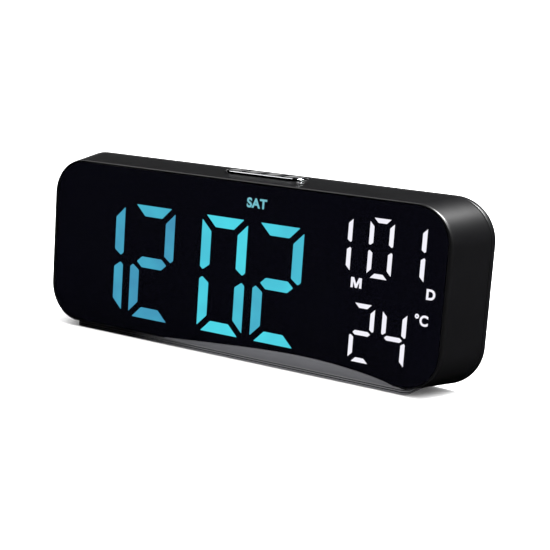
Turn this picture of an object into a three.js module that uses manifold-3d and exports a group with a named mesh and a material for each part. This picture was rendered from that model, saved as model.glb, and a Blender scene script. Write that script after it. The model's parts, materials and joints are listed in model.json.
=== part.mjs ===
// Desk alarm clock with a smoked display panel.
// Millimetres, +Z up, the display faces -Y, +X is the viewer's right.
// The origin is the centre of the footprint, on the surface that the clock stands on.
import * as THREE from 'three';
import { mergeVertices } from 'three/addons/utils/BufferGeometryUtils.js';
import Module from 'manifold-3d';

const wasm = await Module();
wasm.setup();

// ---- driving dimensions ----
const lensWidth = 180;
const lensHeight = 67.6;
const lensCorner = 13.6;
const lensThickness = 1.8;
const lensSetback = 0.15;
const bodyDepth = 24;
const coverDepth = 3;
const lipThickness = 1.5;
const wall = 2;
const rimWidth = 0.8;
const lowerRim = 0.6;
const sideFillet = 0.9;
const sideFilletDepth = 1.5;
const topFillet = 0.5;
const topFilletDepth = 0.8;
const sideFlare = 7.5;
const topRise = 2.2;
const underDrop = 1.2;
const cornerGrowth = 1.2;
const rearRound = 1.3;
const seamGap = 0.2;
const fitGap = 0.15;
const stackGap = 0.3;
const filmGap = 0.05;
const seatGap = 0.05;

// ---- chin: the arched lower edge of the lens and the sloping lip under it ----
const chinLeft = -31;
const chinPeakX = 33.3;
const chinRight = 72.3;
const chinHeight = 4.1;
const chinSlopeDepth = 1.3;
const archPulls = { footLeft: 21.6, peakLeft: 17.8, peakRight: 15.3, footRight: 7.9 };
const archLifts = { left: 0.4, right: 0.55 };

// ---- foot ----
const footLength = 157;
const footThickness = 2.4;
const footCorner = 3;
const footFront = 1.5;
const footBackMargin = 0.3;
const footGap = 0.1;
const footGroove = 0.35;
const padProud = 0.3;
const padRadius = 4;
const padThickness = 0.9;
const padInsetX = 10.5;
const padInsetY = 5;

// ---- display ----
const filmThickness = 0.3;
const frontWall = 1.45;
const reflectorDepth = 6;
const boardThickness = 1.2;
const boardSideMargin = 5;
const boardEndMargin = 3.1;
const boardCorner = 9;
const wellMargin = 2.2;
const windowInset = 1;
const blockCorner = 3;
const dataCorner = 2 * wall + 0.5; // the block clears the shell's inner corner
const blockMargin = 1.6;
const labelMargin = 1;
const bigDigit = { width: 21.4, height: 47, stroke: 4.5, cut: 1.9, middle: 1.4 };
const smallDigit = { width: 10.2, height: 22.6, stroke: 1.9, cut: 1.5, middle: 0.95 };
const bigPitch = 25.25;
const colonSpan = 34.6;
const timeCentreX = -22;
const timeCentreZ = -4.2;
const colonDot = 4;
const colonHalfGap = 9;
const dayCell = { width: 10.4, height: 5.2, pitch: 12.6 };
const dayCentreX = -15.9;
const dayCentreZ = 26.4;
const dataPitch = 13.1;
const dateCentreX = 63.5;
const dateCentreZ = 16.05;
const monthTensX = 51.6;
const degreeCentreZ = -16.55;
const degreeCentreX = 65;
const labelSize = 4.6;
const monthLabel = [54.8, 2.1];
const dateLabel = [84.9, 2.2];
const unitLabel = [82.1, -7.6];

// ---- keys ----
const keyCount = 4;
const keyNames = ['mode', 'up', 'down', 'snooze'];
const padLength = 37;
const padWidth = 10.6;
const padBorder = 1.1;
const barWidth = 1;
const padCentreX = 4;
const padToSeam = 6;
const trimTop = 73.85;
const trimHeight = wall + 2.6;
const trimFlange = 1.1;
const trimFlangeOut = 2;
const keyProud = 0.2;
const keyTravel = 0.6;
const keyFlange = 1;
const keyFlangeWidth = 5.8;
const endFlangeShift = 0.8;
const keyGap = 0.12;
const plungerRadius = 1.7;
const plungerStroke = 0.1;
const switchSize = 6;
const switchHeight = 3.5;
const switchSetback = 0.4;
const hangerClear = 3.3;
const hangerRadius = 2.2;
const boardEdge = 2.7;
const notchMargin = 0.8;
const boardAhead = 3.1;
const boardBehind = 4.6;

// ---- screws and bosses ----
const screwShank = 0.95;
const screwHole = 1.15;
const screwHeadRadius = 1.9;
const screwHeadHeight = 1.1;
const coverScrewLength = 8.6;
const boardScrewLength = 5;
const footScrewLength = 6.5;
const bossRadius = 2.9;
const bossBury = 0.6;
const coverBury = 0.4;
const headSeatDepth = 1.5;
const coverBossHalfZ = 17;
const coverBossStart = 10.5;
const boardBossRadius = 2.4;
const boardBossBury = 0.5;
const boardBossX = [-81.5, 38];
const boardBossZ = [-22, 24];
const footBossX = 60;
const footBossPlace = 15;
const footBossHeight = 5;

// ---- rear services ----
const coinRadius = 10;
const coinThickness = 3.2;
const coinGap = 0.4;
const coinX = 28;
const coinZ = 34;
const capOverlap = 2;
const capThickness = 1.6;
const capTab = 1.3;
const capTabDepth = 0.8;
const capTabHalf = 3;
const tabGap = 0.3;
const capSlotHalf = 6;
const capSlotDepth = 0.7;
const capSlotWidth = 1.8;
const bayWall = 1.5;
const contactThickness = 0.4;
const contactLength = 14;
const contactWidth = 4;
const buzzerRadius = 6;
const buzzerHeight = 6;
const buzzerX = -58;
const buzzerZ = 42;
const soundHole = 0.9;
const soundPitch = 3.2;
const ventCount = 6;
const ventLength = 22;
const ventWidth = 1.6;
const ventPitch = 4;
const ventX = 66;
const ventZ = 50;
const socketX = 62;
const socketZ = 15;
const socketWidth = 8.9;
const socketHeight = 3.2;
const socketLength = 7.3;
const socketWall = 0.35;
const socketSetback = 0.5;
const tongueHalf = 3.3;
const tongueThickness = 0.7;
const powerBoardHalf = 8;
const powerBoardFront = 13;
const railWall = 1.2;
const railGrip = 1;

// ---- derived places ----
const frontY = -bodyDepth / 2;
const footTop = padProud + footThickness;
const undersideZ = footTop + footGap;
const lensBottom = undersideZ + lowerRim;
const lensTop = lensBottom + lensHeight;
const centreZ = lensBottom + lensHeight / 2;
const bodyTop = lensTop + rimWidth;
const seam = bodyDepth - coverDepth;
const recessBack = lensSetback + lensThickness + filmThickness + 2 * filmGap;
const wallBack = recessBack + frontWall;
const reflectorFront = wallBack + stackGap;
const boardFront = reflectorFront + reflectorDepth + stackGap;
const boardBack = boardFront + boardThickness;
const coverInner = bodyDepth - wall;
const powerBoardLow = socketZ - socketHeight / 2 - fitGap - boardThickness;
const capRadius = coinRadius + capOverlap;
const padDepthPlace = seam - padToSeam;
const switchDepthPlace = padDepthPlace + switchSetback;
const hangerX = padLength / 2 + trimFlangeOut + hangerClear;
const buttonBoardHalf = hangerX + boardEdge;
const buttonBoardFront = switchDepthPlace - boardAhead;
const buttonBoardBack = switchDepthPlace + boardBehind;
const slack = 1;

const at = (depth) => frontY + depth;

// ---- solids: boolean cuts and joins ----
function solid(geometry) {
  const bare = geometry.clone();
  bare.deleteAttribute('normal');
  bare.deleteAttribute('uv');
  const merged = mergeVertices(bare, 1e-4);
  const vertProperties = new Float32Array(merged.attributes.position.array);
  const triVerts = new Uint32Array(merged.index.array);
  return new wasm.Manifold(new wasm.Mesh({ numProp: 3, vertProperties, triVerts }));
}

function geometryOf(body) {
  const mesh = body.getMesh();
  const geometry = new THREE.BufferGeometry();
  geometry.setAttribute('position', new THREE.BufferAttribute(new Float32Array(mesh.vertProperties), 3));
  geometry.setIndex(new THREE.BufferAttribute(new Uint32Array(mesh.triVerts), 1));
  geometry.computeVertexNormals();
  return geometry;
}

const joined = (first, ...others) => others.reduce((body, other) => body.add(other), first);
const cut = (first, ...others) => others.reduce((body, other) => body.subtract(other), first);

// ---- outlines ----
function roundedOutline(left, right, bottom, top, corner) {
  const shape = new THREE.Shape();
  shape.moveTo(left + corner, bottom);
  shape.lineTo(right - corner, bottom);
  shape.absarc(right - corner, bottom + corner, corner, -Math.PI / 2, 0);
  shape.lineTo(right, top - corner);
  shape.absarc(right - corner, top - corner, corner, 0, Math.PI / 2);
  shape.lineTo(left + corner, top);
  shape.absarc(left + corner, top - corner, corner, Math.PI / 2, Math.PI);
  shape.lineTo(left, bottom + corner);
  shape.absarc(left + corner, bottom + corner, corner, Math.PI, 1.5 * Math.PI);
  return shape;
}

function pillOutline(length, width, centreX = 0, centreY = 0) {
  const radius = width / 2;
  const reach = length / 2 - radius;
  const shape = new THREE.Shape();
  shape.moveTo(centreX - reach, centreY - radius);
  shape.lineTo(centreX + reach, centreY - radius);
  shape.absarc(centreX + reach, centreY, radius, -Math.PI / 2, Math.PI / 2);
  shape.lineTo(centreX - reach, centreY + radius);
  shape.absarc(centreX - reach, centreY, radius, Math.PI / 2, 1.5 * Math.PI);
  return shape;
}

// The lens outline: a rounded rectangle whose lower edge lifts in one long lopsided arch.
function lensOutline(grow) {
  const left = -lensWidth / 2 - grow;
  const right = lensWidth / 2 + grow;
  const bottom = lensBottom - grow;
  const top = lensTop + grow;
  const corner = lensCorner + grow;
  const peak = lensBottom + chinHeight - grow;
  const shape = new THREE.Shape();
  shape.moveTo(left + corner, bottom);
  shape.lineTo(chinLeft, bottom);
  shape.bezierCurveTo(
    chinLeft + archPulls.footLeft,
    bottom + archLifts.left * chinHeight,
    chinPeakX - archPulls.peakLeft,
    peak,
    chinPeakX,
    peak,
  );
  shape.bezierCurveTo(
    chinPeakX + archPulls.peakRight,
    peak,
    chinRight - archPulls.footRight,
    bottom + archLifts.right * chinHeight,
    chinRight,
    bottom,
  );
  shape.lineTo(right - corner, bottom);
  shape.absarc(right - corner, bottom + corner, corner, -Math.PI / 2, 0);
  shape.lineTo(right, top - corner);
  shape.absarc(right - corner, top - corner, corner, 0, Math.PI / 2);
  shape.lineTo(left + corner, top);
  shape.absarc(left + corner, top - corner, corner, Math.PI / 2, Math.PI);
  shape.lineTo(left, bottom + corner);
  shape.absarc(left + corner, bottom + corner, corner, Math.PI, 1.5 * Math.PI);
  return shape;
}

// ---- extrusions along each axis ----
// An outline in X and Z, between two depths behind the front plane.
function slab(shape, fromDepth, toDepth, curveSegments = 8) {
  const depth = toDepth - fromDepth;
  const geometry = new THREE.ExtrudeGeometry(shape, { depth, curveSegments, bevelEnabled: false });
  geometry.rotateX(Math.PI / 2);
  geometry.translate(0, at(toDepth), 0);
  return geometry;
}

// An outline in X and Y, between two heights.
function layer(shape, low, high, curveSegments = 8) {
  const geometry = new THREE.ExtrudeGeometry(shape, {
    depth: high - low,
    curveSegments,
    bevelEnabled: false,
  });
  geometry.translate(0, 0, low);
  return geometry;
}

// An outline in depth and Z, between two places along X.
function bar(points, left, right) {
  const shape = new THREE.Shape(points.map(([depth, z]) => new THREE.Vector2(at(depth), z)));
  const geometry = new THREE.ExtrudeGeometry(shape, { depth: right - left, bevelEnabled: false });
  const turn = new THREE.Matrix4().makeBasis(
    new THREE.Vector3(0, 1, 0),
    new THREE.Vector3(0, 0, 1),
    new THREE.Vector3(1, 0, 0),
  );
  geometry.applyMatrix4(turn);
  geometry.translate(left, 0, 0);
  return geometry;
}

function block(left, right, fromDepth, toDepth, low, high) {
  const geometry = new THREE.BoxGeometry(right - left, toDepth - fromDepth, high - low);
  geometry.translate((left + right) / 2, at((fromDepth + toDepth) / 2), (low + high) / 2);
  return geometry;
}

// A cylinder whose axis runs front to back.
function roundBar(x, z, radius, fromDepth, toDepth, sides = 12) {
  const geometry = new THREE.CylinderGeometry(radius, radius, toDepth - fromDepth, sides);
  geometry.translate(x, at((fromDepth + toDepth) / 2), z);
  return geometry;
}

// A cylinder whose axis is upright.
function post(x, depth, radius, low, high, sides = 12) {
  const geometry = new THREE.CylinderGeometry(radius, radius, high - low, sides);
  geometry.rotateX(Math.PI / 2);
  geometry.translate(x, at(depth), (low + high) / 2);
  return geometry;
}

// ---- the body's outer form: a rounded rectangle that widens towards the back ----
function quarterRound(share) {
  const rest = 1 - Math.min(1, Math.max(0, share));
  return Math.sqrt(1 - rest * rest);
}

function sectionAt(depth, inset) {
  const back = depth / bodyDepth;
  const sideShare = quarterRound(depth / sideFilletDepth);
  const topShare = quarterRound(depth / topFilletDepth);
  const tail = (depth - (bodyDepth - rearRound)) / rearRound;
  const rearInset = tail > 0 ? rearRound * (1 - Math.sqrt(1 - Math.min(1, tail * tail))) : 0;
  const drawIn = inset + rearInset;
  const underside = inset > 0 ? undersideZ : undersideZ - underDrop * back;
  return {
    depth,
    half: lensWidth / 2 + rimWidth + sideFillet * sideShare + sideFlare * back - drawIn,
    top: bodyTop - topFillet * (1 - topShare) + topRise * back - drawIn,
    bottom: underside + drawIn,
    corner: lensCorner + rimWidth + cornerGrowth * (sideShare + back) - drawIn,
  };
}

// A solid through a row of sections: an extrusion with one step per section,
// each step resized to its section.
function loft(depths, inset = 0, curveSegments = 8) {
  const sections = depths.map((depth) => sectionAt(depth, inset));
  const base = sections[0];
  const mid = (base.top + base.bottom) / 2;
  const halfHeight = (base.top - base.bottom) / 2;
  const outline = roundedOutline(-base.half, base.half, -halfHeight, halfHeight, base.corner);
  const steps = sections.length - 1;
  const options = { depth: steps, steps, curveSegments, bevelEnabled: false };
  const geometry = new THREE.ExtrudeGeometry(outline, options);
  const position = geometry.attributes.position;
  const reachX = base.half - base.corner;
  const reachZ = halfHeight - base.corner;
  for (let i = 0; i < position.count; i += 1) {
    const section = sections[steps - Math.round(position.getZ(i))];
    const height = (section.top - section.bottom) / 2;
    const straightX = THREE.MathUtils.clamp(position.getX(i), -reachX, reachX);
    const straightZ = THREE.MathUtils.clamp(position.getY(i), -reachZ, reachZ);
    const grow = section.corner / base.corner;
    const x = straightX * (section.half - section.corner) / reachX + (position.getX(i) - straightX) * grow;
    const z = straightZ * (height - section.corner) / reachZ + (position.getY(i) - straightZ) * grow;
    position.setXYZ(i, x, at(section.depth), (section.top + section.bottom) / 2 + z);
  }
  return geometry;
}

// ---- seven-segment shapes, about a digit's centre ----
function segmentPoints(digit) {
  const w = digit.width / 2;
  const h = digit.height / 2;
  const t = digit.stroke;
  const k = digit.cut;
  const m = digit.middle;
  const upright = [
    [w, h - k],
    [w - t, h - k - t],
    [w - t, m + 0.5 * t],
    [w - 0.3 * t, m],
    [w, m + 0.25 * t],
  ];
  const flat = [[-w + k, h], [-w + k + t, h - t], [w - k - t, h - t], [w - k, h]];
  const tip = w - 0.73 * t;
  const waist = tip - 0.55 * t;
  const flip = (points, sx, sz) => points.map(([x, z]) => [x * sx, z * sz]);
  return {
    a: flat,
    b: upright,
    c: flip(upright, 1, -1),
    d: flip(flat, 1, -1),
    e: flip(upright, -1, -1),
    f: flip(upright, -1, 1),
    g: [[-tip, 0], [-waist, -t / 2], [waist, -t / 2], [tip, 0], [waist, t / 2], [-waist, t / 2]],
  };
}

function digitWells(digit, x, z, letters = 'abcdefg') {
  const points = segmentPoints(digit);
  return [...letters].map((letter) => {
    const corners = points[letter].map(([px, pz]) => new THREE.Vector2(x + px, centreZ + z + pz));
    return solid(slab(new THREE.Shape(corners), reflectorFront - slack, reflectorFront + reflectorDepth + slack));
  });
}

function boxWell(x, z, width, height) {
  const low = centreZ + z - height / 2;
  const front = reflectorFront - slack;
  const back = reflectorFront + reflectorDepth + slack;
  return solid(block(x - width / 2, x + width / 2, front, back, low, low + height));
}

// ---- reflector blocks and the windows in front of them ----
const bigColumns = [-1.5, -0.5, 0.5, 1.5].map((place) => {
  const side = Math.sign(place);
  return timeCentreX + side * (colonSpan / 2 + (Math.abs(place) - 0.5) * bigPitch);
});
const timeBlock = {
  left: bigColumns[0] - bigDigit.width / 2 - wellMargin,
  right: bigColumns[3] + bigDigit.width / 2 + wellMargin,
  low: centreZ + timeCentreZ - bigDigit.height / 2 - blockMargin,
  high: centreZ + timeCentreZ + bigDigit.height / 2 + blockMargin,
};
const dayBlock = {
  left: dayCentreX - 3 * dayCell.pitch - dayCell.width / 2 - wellMargin,
  right: dayCentreX + 3 * dayCell.pitch + dayCell.width / 2 + wellMargin,
  low: centreZ + dayCentreZ - dayCell.height / 2 - labelMargin,
  high: centreZ + dayCentreZ + dayCell.height / 2 + labelMargin,
};
const dataBlock = {
  left: monthTensX - smallDigit.width / 2 - wellMargin,
  right: dateLabel[0] + labelSize / 2 + labelMargin,
  low: centreZ + degreeCentreZ - smallDigit.height / 2 - blockMargin,
  high: centreZ + dateCentreZ + smallDigit.height / 2 + blockMargin,
  corner: dataCorner,
};

function blockSolid(place, fromDepth, toDepth, inset = 0) {
  const { left, right, low, high, corner = blockCorner } = place;
  const outline = roundedOutline(left + inset, right - inset, low + inset, high - inset, corner - inset);
  return solid(slab(outline, fromDepth, toDepth, 3));
}

function timeReflector() {
  const body = blockSolid(timeBlock, reflectorFront, reflectorFront + reflectorDepth);
  const wells = bigColumns.flatMap((x) => digitWells(bigDigit, x, timeCentreZ));
  const dots = [-1, 1].map((side) => (
    boxWell(timeCentreX, timeCentreZ + side * colonHalfGap, colonDot, colonDot)
  ));
  return cut(body, ...wells, ...dots);
}

function dayReflector() {
  const body = blockSolid(dayBlock, reflectorFront, reflectorFront + reflectorDepth);
  const wells = [-3, -2, -1, 0, 1, 2, 3].map((place) => (
    boxWell(dayCentreX + place * dayCell.pitch, dayCentreZ, dayCell.width, dayCell.height)
  ));
  return cut(body, ...wells);
}

function dataReflector() {
  const body = blockSolid(dataBlock, reflectorFront, reflectorFront + reflectorDepth);
  const wells = [
    ...digitWells(smallDigit, monthTensX - smallDigit.width / 2, dateCentreZ, 'bc'),
    ...digitWells(smallDigit, dateCentreX, dateCentreZ),
    ...digitWells(smallDigit, dateCentreX + dataPitch, dateCentreZ),
    ...digitWells(smallDigit, degreeCentreX - dataPitch / 2, degreeCentreZ),
    ...digitWells(smallDigit, degreeCentreX + dataPitch / 2, degreeCentreZ),
  ];
  const labels = [monthLabel, dateLabel, unitLabel].map(([x, z]) => boxWell(x, z, labelSize, labelSize));
  return cut(body, ...wells, ...labels);
}

// ---- shells ----
const filletShares = [0, 0.04, 0.15, 0.35, 0.65, 1];
const coverBosses = [-1, 1].flatMap((sx) => [-1, 1].map((sz) => {
  const wallFace = sectionAt((coverBossStart + seam) / 2, wall).half;
  return [sx * (wallFace - bossRadius + bossBury), centreZ + sz * coverBossHalfZ];
}));
const boardBosses = boardBossX.flatMap((x) => boardBossZ.map((z) => [x, centreZ + z]));

function keyHole(grow, low, high) {
  const length = padLength + 2 * grow;
  return layer(pillOutline(length, padWidth + 2 * grow, padCentreX, at(padDepthPlace)), low, high);
}

function frontHousing() {
  const outerDepths = [...filletShares.map((share) => share * sideFilletDepth), seam - seamGap];
  const outer = solid(loft(outerDepths));
  const cavity = solid(loft([wallBack, seam + slack], wall));
  const recess = solid(slab(lensOutline(fitGap), -slack, recessBack, 12));
  const windows = [timeBlock, dayBlock, dataBlock].map((place) => (
    blockSolid(place, recessBack - slack, wallBack + slack, windowInset)
  ));
  const chinTop = lensBottom + chinHeight;
  const slope = solid(bar([
    [-slack, chinTop],
    [0, chinTop],
    [chinSlopeDepth, undersideZ - slack],
    [-slack, undersideZ - slack],
  ], -footLength / 2, footLength / 2));
  const pocketHalf = footLength / 2 + fitGap;
  const pocket = solid(block(-pocketHalf, pocketHalf, chinSlopeDepth, seam + slack, -slack, undersideZ));
  const hole = solid(keyHole(fitGap, trimTop - trimHeight, trimTop + 4));
  const bossEnd = seam - seamGap;
  const coverPosts = coverBosses.map(([x, z]) => (
    solid(roundBar(x, z, bossRadius, coverBossStart, bossEnd))
  ));
  const coverHoles = coverBosses.map(([x, z]) => (
    solid(roundBar(x, z, screwHole, coverBossStart + 1.5, bossEnd + slack, 8))
  ));
  const boardPosts = boardBosses.map(([x, z]) => (
    solid(roundBar(x, z, boardBossRadius, wallBack - boardBossBury, boardFront - fitGap))
  ));
  const boardHoles = boardBosses.map(([x, z]) => (
    solid(roundBar(x, z, screwHole, wallBack + boardBossBury, boardFront + slack, 8))
  ));
  const footBossLow = undersideZ + wall - boardBossBury;
  const footBossTop = undersideZ + wall + footBossHeight;
  const footBosses = [-1, 1].map((side) => (
    solid(post(side * footBossX, footBossPlace, bossRadius, footBossLow, footBossTop))
  ));
  const footHoles = [-1, 1].map((side) => (
    solid(post(side * footBossX, footBossPlace, screwHole, undersideZ - slack, footBossTop - 1, 8))
  ));
  const hangerTop = bodyTop + topRise - wall + bossBury / 2;
  const hangers = [-1, 1].map((side) => {
    const x = padCentreX + side * hangerX;
    return solid(post(x, switchDepthPlace, hangerRadius, buttonBoardTop + fitGap, hangerTop));
  });
  const hangerHoles = [-1, 1].map((side) => {
    const x = padCentreX + side * hangerX;
    return solid(post(x, switchDepthPlace, screwHole, buttonBoardTop - slack, buttonBoardTop + 5, 8));
  });
  const shell = cut(outer, cavity);
  const ribbed = joined(shell, ...coverPosts, ...boardPosts, ...footBosses, ...hangers);
  const trimmed = ribbed.intersect(outer);
  const screwHoles = [...coverHoles, ...boardHoles, ...footHoles, ...hangerHoles];
  return cut(trimmed, recess, ...windows, slope, pocket, hole, ...screwHoles);
}

const bayFloor = bodyDepth - capThickness - 2 * coinGap - coinThickness - contactThickness - fitGap;
const capInner = bodyDepth - capThickness;
const coverPlate = coverInner + coverBury;

function rearCover() {
  const rearDepths = [1, 0.7, 0.4, 0.15, 0].map((share) => bodyDepth - share * rearRound);
  const outer = solid(loft([seam, ...rearDepths]));
  const lip = solid(loft([seam - wall, seam + 0.1], wall + fitGap));
  const hollow = solid(loft([seam - wall - slack, coverInner], wall + fitGap + lipThickness));
  const notchHalf = buttonBoardHalf + notchMargin;
  const lipEnd = seam - 0.02;
  const keyNotch = solid(block(
    padCentreX - notchHalf,
    padCentreX + notchHalf,
    seam - wall - slack,
    lipEnd,
    bodyTop - 4 * wall,
    bodyTop + 9,
  ));
  const bossTubes = coverBosses.map(([x, z]) => solid(roundBar(x, z, bossRadius, seam, coverPlate)));
  const lipGaps = coverBosses.map(([x, z]) => (
    solid(roundBar(x, z, bossRadius + 0.3, seam - wall - slack, lipEnd))
  ));
  const headSeats = coverBosses.map(([x, z]) => (
    solid(roundBar(x, z, screwHeadRadius + 0.4, bodyDepth - headSeatDepth, bodyDepth + slack))
  ));
  const screwHoles = coverBosses.map(([x, z]) => (
    solid(roundBar(x, z, screwHole, seam - slack, bodyDepth, 8))
  ));
  const coinBar = (radius, from, to) => solid(roundBar(coinX, coinZ, radius, from, to, 28));
  const bay = coinBar(capRadius + capTab + bayWall, bayFloor - bayWall, coverPlate);
  const coinPocket = coinBar(coinRadius + coinGap, bayFloor, bodyDepth + slack);
  const capSeat = coinBar(capRadius + fitGap, capInner - fitGap, bodyDepth + slack);
  const grooveEnd = capInner + capTabDepth + fitGap;
  const tabGroove = coinBar(capRadius + capTab + tabGap, capInner - fitGap, grooveEnd);
  const notches = [-1, 1].map((side) => (
    tabSolid(side * 45, 0.4, capInner - fitGap, bodyDepth + slack)
  ));
  const rings = [[0, 0, 1], [soundPitch, 0, 6], [2 * soundPitch, 15, 12]];
  const soundHoles = rings.flatMap(([radius, turn, count]) => Array.from({ length: count }, (unused, i) => {
    const angle = THREE.MathUtils.degToRad(turn + (360 * i) / count);
    const x = buzzerX + radius * Math.cos(angle);
    const z = buzzerZ + radius * Math.sin(angle);
    return solid(roundBar(x, z, soundHole, coverInner - slack, bodyDepth + slack, 10));
  }));
  const vents = Array.from({ length: ventCount }, (unused, i) => {
    const z = ventZ + (i - (ventCount - 1) / 2) * ventPitch;
    const shape = roundedOutline(
      ventX - ventLength / 2,
      ventX + ventLength / 2,
      z - ventWidth / 2,
      z + ventWidth / 2,
      ventWidth / 2 - 0.05,
    );
    return solid(slab(shape, coverInner - slack, bodyDepth + slack, 3));
  });
  const socketGap = 0.3;
  const socketCut = solid(slab(
    pillOutline(socketWidth + 2 * socketGap, socketHeight + 2 * socketGap, socketX, socketZ),
    coverInner - slack,
    bodyDepth + slack,
    5,
  ));
  const rails = [-1, 1].map((side) => {
    const outside = socketX + side * (powerBoardHalf + railWall);
    const inside = socketX + side * (powerBoardHalf - railGrip);
    return solid(block(
      Math.min(outside, inside),
      Math.max(outside, inside),
      powerBoardFront + 2,
      coverPlate,
      powerBoardLow - railWall,
      powerBoardLow + boardThickness + railWall,
    ));
  });
  const boardSlot = solid(block(
    socketX - powerBoardHalf - fitGap,
    socketX + powerBoardHalf + fitGap,
    powerBoardFront,
    coverInner - 0.4,
    powerBoardLow - fitGap,
    powerBoardLow + boardThickness + fitGap,
  ));
  const shell = cut(joined(outer, cut(lip, keyNotch, ...lipGaps)), hollow);
  const fitted = cut(joined(shell, bay, ...bossTubes, ...rails), boardSlot);
  const cutouts = [coinPocket, capSeat, tabGroove, ...notches, ...headSeats, ...screwHoles, socketCut];
  return cut(fitted, ...cutouts, ...soundHoles, ...vents);
}

// ---- battery cap: a round lid that locks with two tabs and turns with a coin ----
function tabSolid(angle, gap, fromDepth, toDepth) {
  const reach = capRadius + capTab + (gap > 0 ? tabGap : 0);
  const half = capTabHalf + gap;
  const geometry = new THREE.BoxGeometry(2 * reach, toDepth - fromDepth, 2 * half);
  geometry.rotateY(THREE.MathUtils.degToRad(angle));
  geometry.translate(coinX, at((fromDepth + toDepth) / 2), coinZ);
  const limit = solid(roundBar(coinX, coinZ, reach, fromDepth - slack, toDepth + slack, 28));
  return solid(geometry).intersect(limit);
}

function batteryCap() {
  const disc = solid(roundBar(coinX, coinZ, capRadius, capInner, bodyDepth, 28));
  const tabs = tabSolid(0, 0, capInner, capInner + capTabDepth);
  const coinSlot = solid(block(
    coinX - capSlotHalf,
    coinX + capSlotHalf,
    bodyDepth - capSlotDepth,
    bodyDepth + slack,
    coinZ - capSlotWidth / 2,
    coinZ + capSlotWidth / 2,
  ));
  return cut(joined(disc, tabs), coinSlot);
}

// ---- keys, their trim and their switches ----
const keyTopZ = trimTop + keyProud;
const trimLow = trimTop - trimHeight;
const keyLow = trimLow - keyGap - keyFlange;
const plungerTop = keyLow - plungerStroke;
const switchTop = plungerTop - keyTravel - 0.3;
const plungerLow = switchTop - 1.2;
const buttonBoardTop = switchTop - switchHeight;
const innerLength = padLength - 2 * padBorder;
const keyPitch = (innerLength + barWidth) / keyCount;
const keyX = (i) => padCentreX + (i - (keyCount - 1) / 2) * keyPitch;

function keyColumn(i, gap, low, high) {
  const pill = solid(layer(
    pillOutline(innerLength - 2 * gap, padWidth - 2 * padBorder - 2 * gap, padCentreX, at(padDepthPlace)),
    low,
    high,
  ));
  const half = (keyPitch - barWidth) / 2 - gap;
  const cell = solid(block(keyX(i) - half, keyX(i) + half, 0, bodyDepth, low - slack, high + slack));
  return pill.intersect(cell);
}

function keyTrim() {
  const ring = solid(keyHole(0, trimLow, trimTop));
  const flangeLength = padLength + 2 * trimFlangeOut;
  const flangeShape = pillOutline(flangeLength, padWidth + 0.6, padCentreX, at(padDepthPlace));
  const flange = solid(layer(flangeShape, trimLow, trimLow + trimFlange));
  const windows = Array.from({ length: keyCount }, (unused, i) => (
    keyColumn(i, 0, trimLow - slack, trimTop + slack)
  ));
  return cut(joined(ring, flange), ...windows);
}

// The flange that stops a key rising out of the trim; the two end keys carry theirs inwards.
function keycap(i) {
  const isEnd = i === 0 || i === keyCount - 1;
  const inward = isEnd ? Math.sign((keyCount - 1) / 2 - i) * endFlangeShift : 0;
  const reach = padWidth / 2 - 0.4;
  const flange = solid(block(
    keyX(i) + inward - keyFlangeWidth / 2,
    keyX(i) + inward + keyFlangeWidth / 2,
    padDepthPlace - reach,
    padDepthPlace + reach,
    keyLow,
    keyLow + keyFlange,
  ));
  return joined(keyColumn(i, keyGap, keyLow, keyTopZ), flange);
}

function switchPlunger(i) {
  return post(keyX(i), switchDepthPlace, plungerRadius, plungerLow, plungerTop, 12);
}

function switchBody(i) {
  const half = switchSize / 2;
  const body = solid(block(
    keyX(i) - half,
    keyX(i) + half,
    switchDepthPlace - half,
    switchDepthPlace + half,
    buttonBoardTop + fitGap / 3,
    switchTop,
  ));
  const boreLow = plungerLow - keyTravel - 0.2;
  const bore = post(keyX(i), switchDepthPlace, plungerRadius + 0.1, boreLow, switchTop + slack, 12);
  return cut(body, solid(bore));
}

function buttonBoard() {
  const low = buttonBoardTop - boardThickness;
  const left = padCentreX - buttonBoardHalf;
  const right = padCentreX + buttonBoardHalf;
  const board = solid(block(left, right, buttonBoardFront, buttonBoardBack, low, buttonBoardTop));
  const holes = [-1, 1].map((side) => {
    const x = padCentreX + side * hangerX;
    return solid(post(x, switchDepthPlace, screwHole, low - slack, buttonBoardTop + slack, 10));
  });
  return cut(board, ...holes);
}

// A flat cable that leaves the key board downwards and turns to meet the display board.
function keyCable() {
  const low = buttonBoardTop - boardThickness - fitGap;
  const thickness = 0.6;
  const cableHalf = 5;
  const back = boardBack + fitGap;
  const drop = 9;
  const reach = 6;
  return bar([
    [back, low - drop - thickness],
    [back + reach, low - drop - thickness],
    [back + reach, low],
    [back + reach - thickness, low],
    [back + reach - thickness, low - drop],
    [back, low - drop],
  ], padCentreX - cableHalf, padCentreX + cableHalf);
}

// ---- screws: a pan head on a plain shank, head towards +Y ----
function screw(length) {
  const profile = [
    [0, -length],
    [screwShank, -length],
    [screwShank, 0],
    [screwHeadRadius, 0],
    [screwHeadRadius, 0.5 * screwHeadHeight],
    [0.65 * screwHeadRadius, screwHeadHeight],
    [0, screwHeadHeight],
  ];
  return new THREE.LatheGeometry(profile.map(([r, y]) => new THREE.Vector2(r, y)), 10);
}

function rearFacingScrew(x, seat, z, length) {
  const geometry = screw(length);
  geometry.translate(x, at(seat), z);
  return geometry;
}

function downFacingScrew(x, depth, seat, length) {
  const geometry = screw(length);
  geometry.rotateX(-Math.PI / 2);
  geometry.translate(x, at(depth), seat);
  return geometry;
}

// ---- foot ----
const footEnd = seam - seamGap - footBackMargin;
const footScrewSeat = padProud + screwHeadHeight + fitGap;
const padPlaces = [-1, 1].flatMap((side) => {
  const x = side * (footLength / 2 - padInsetX);
  return [[x, footFront + padInsetY], [x, footEnd - padInsetY]];
});

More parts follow.
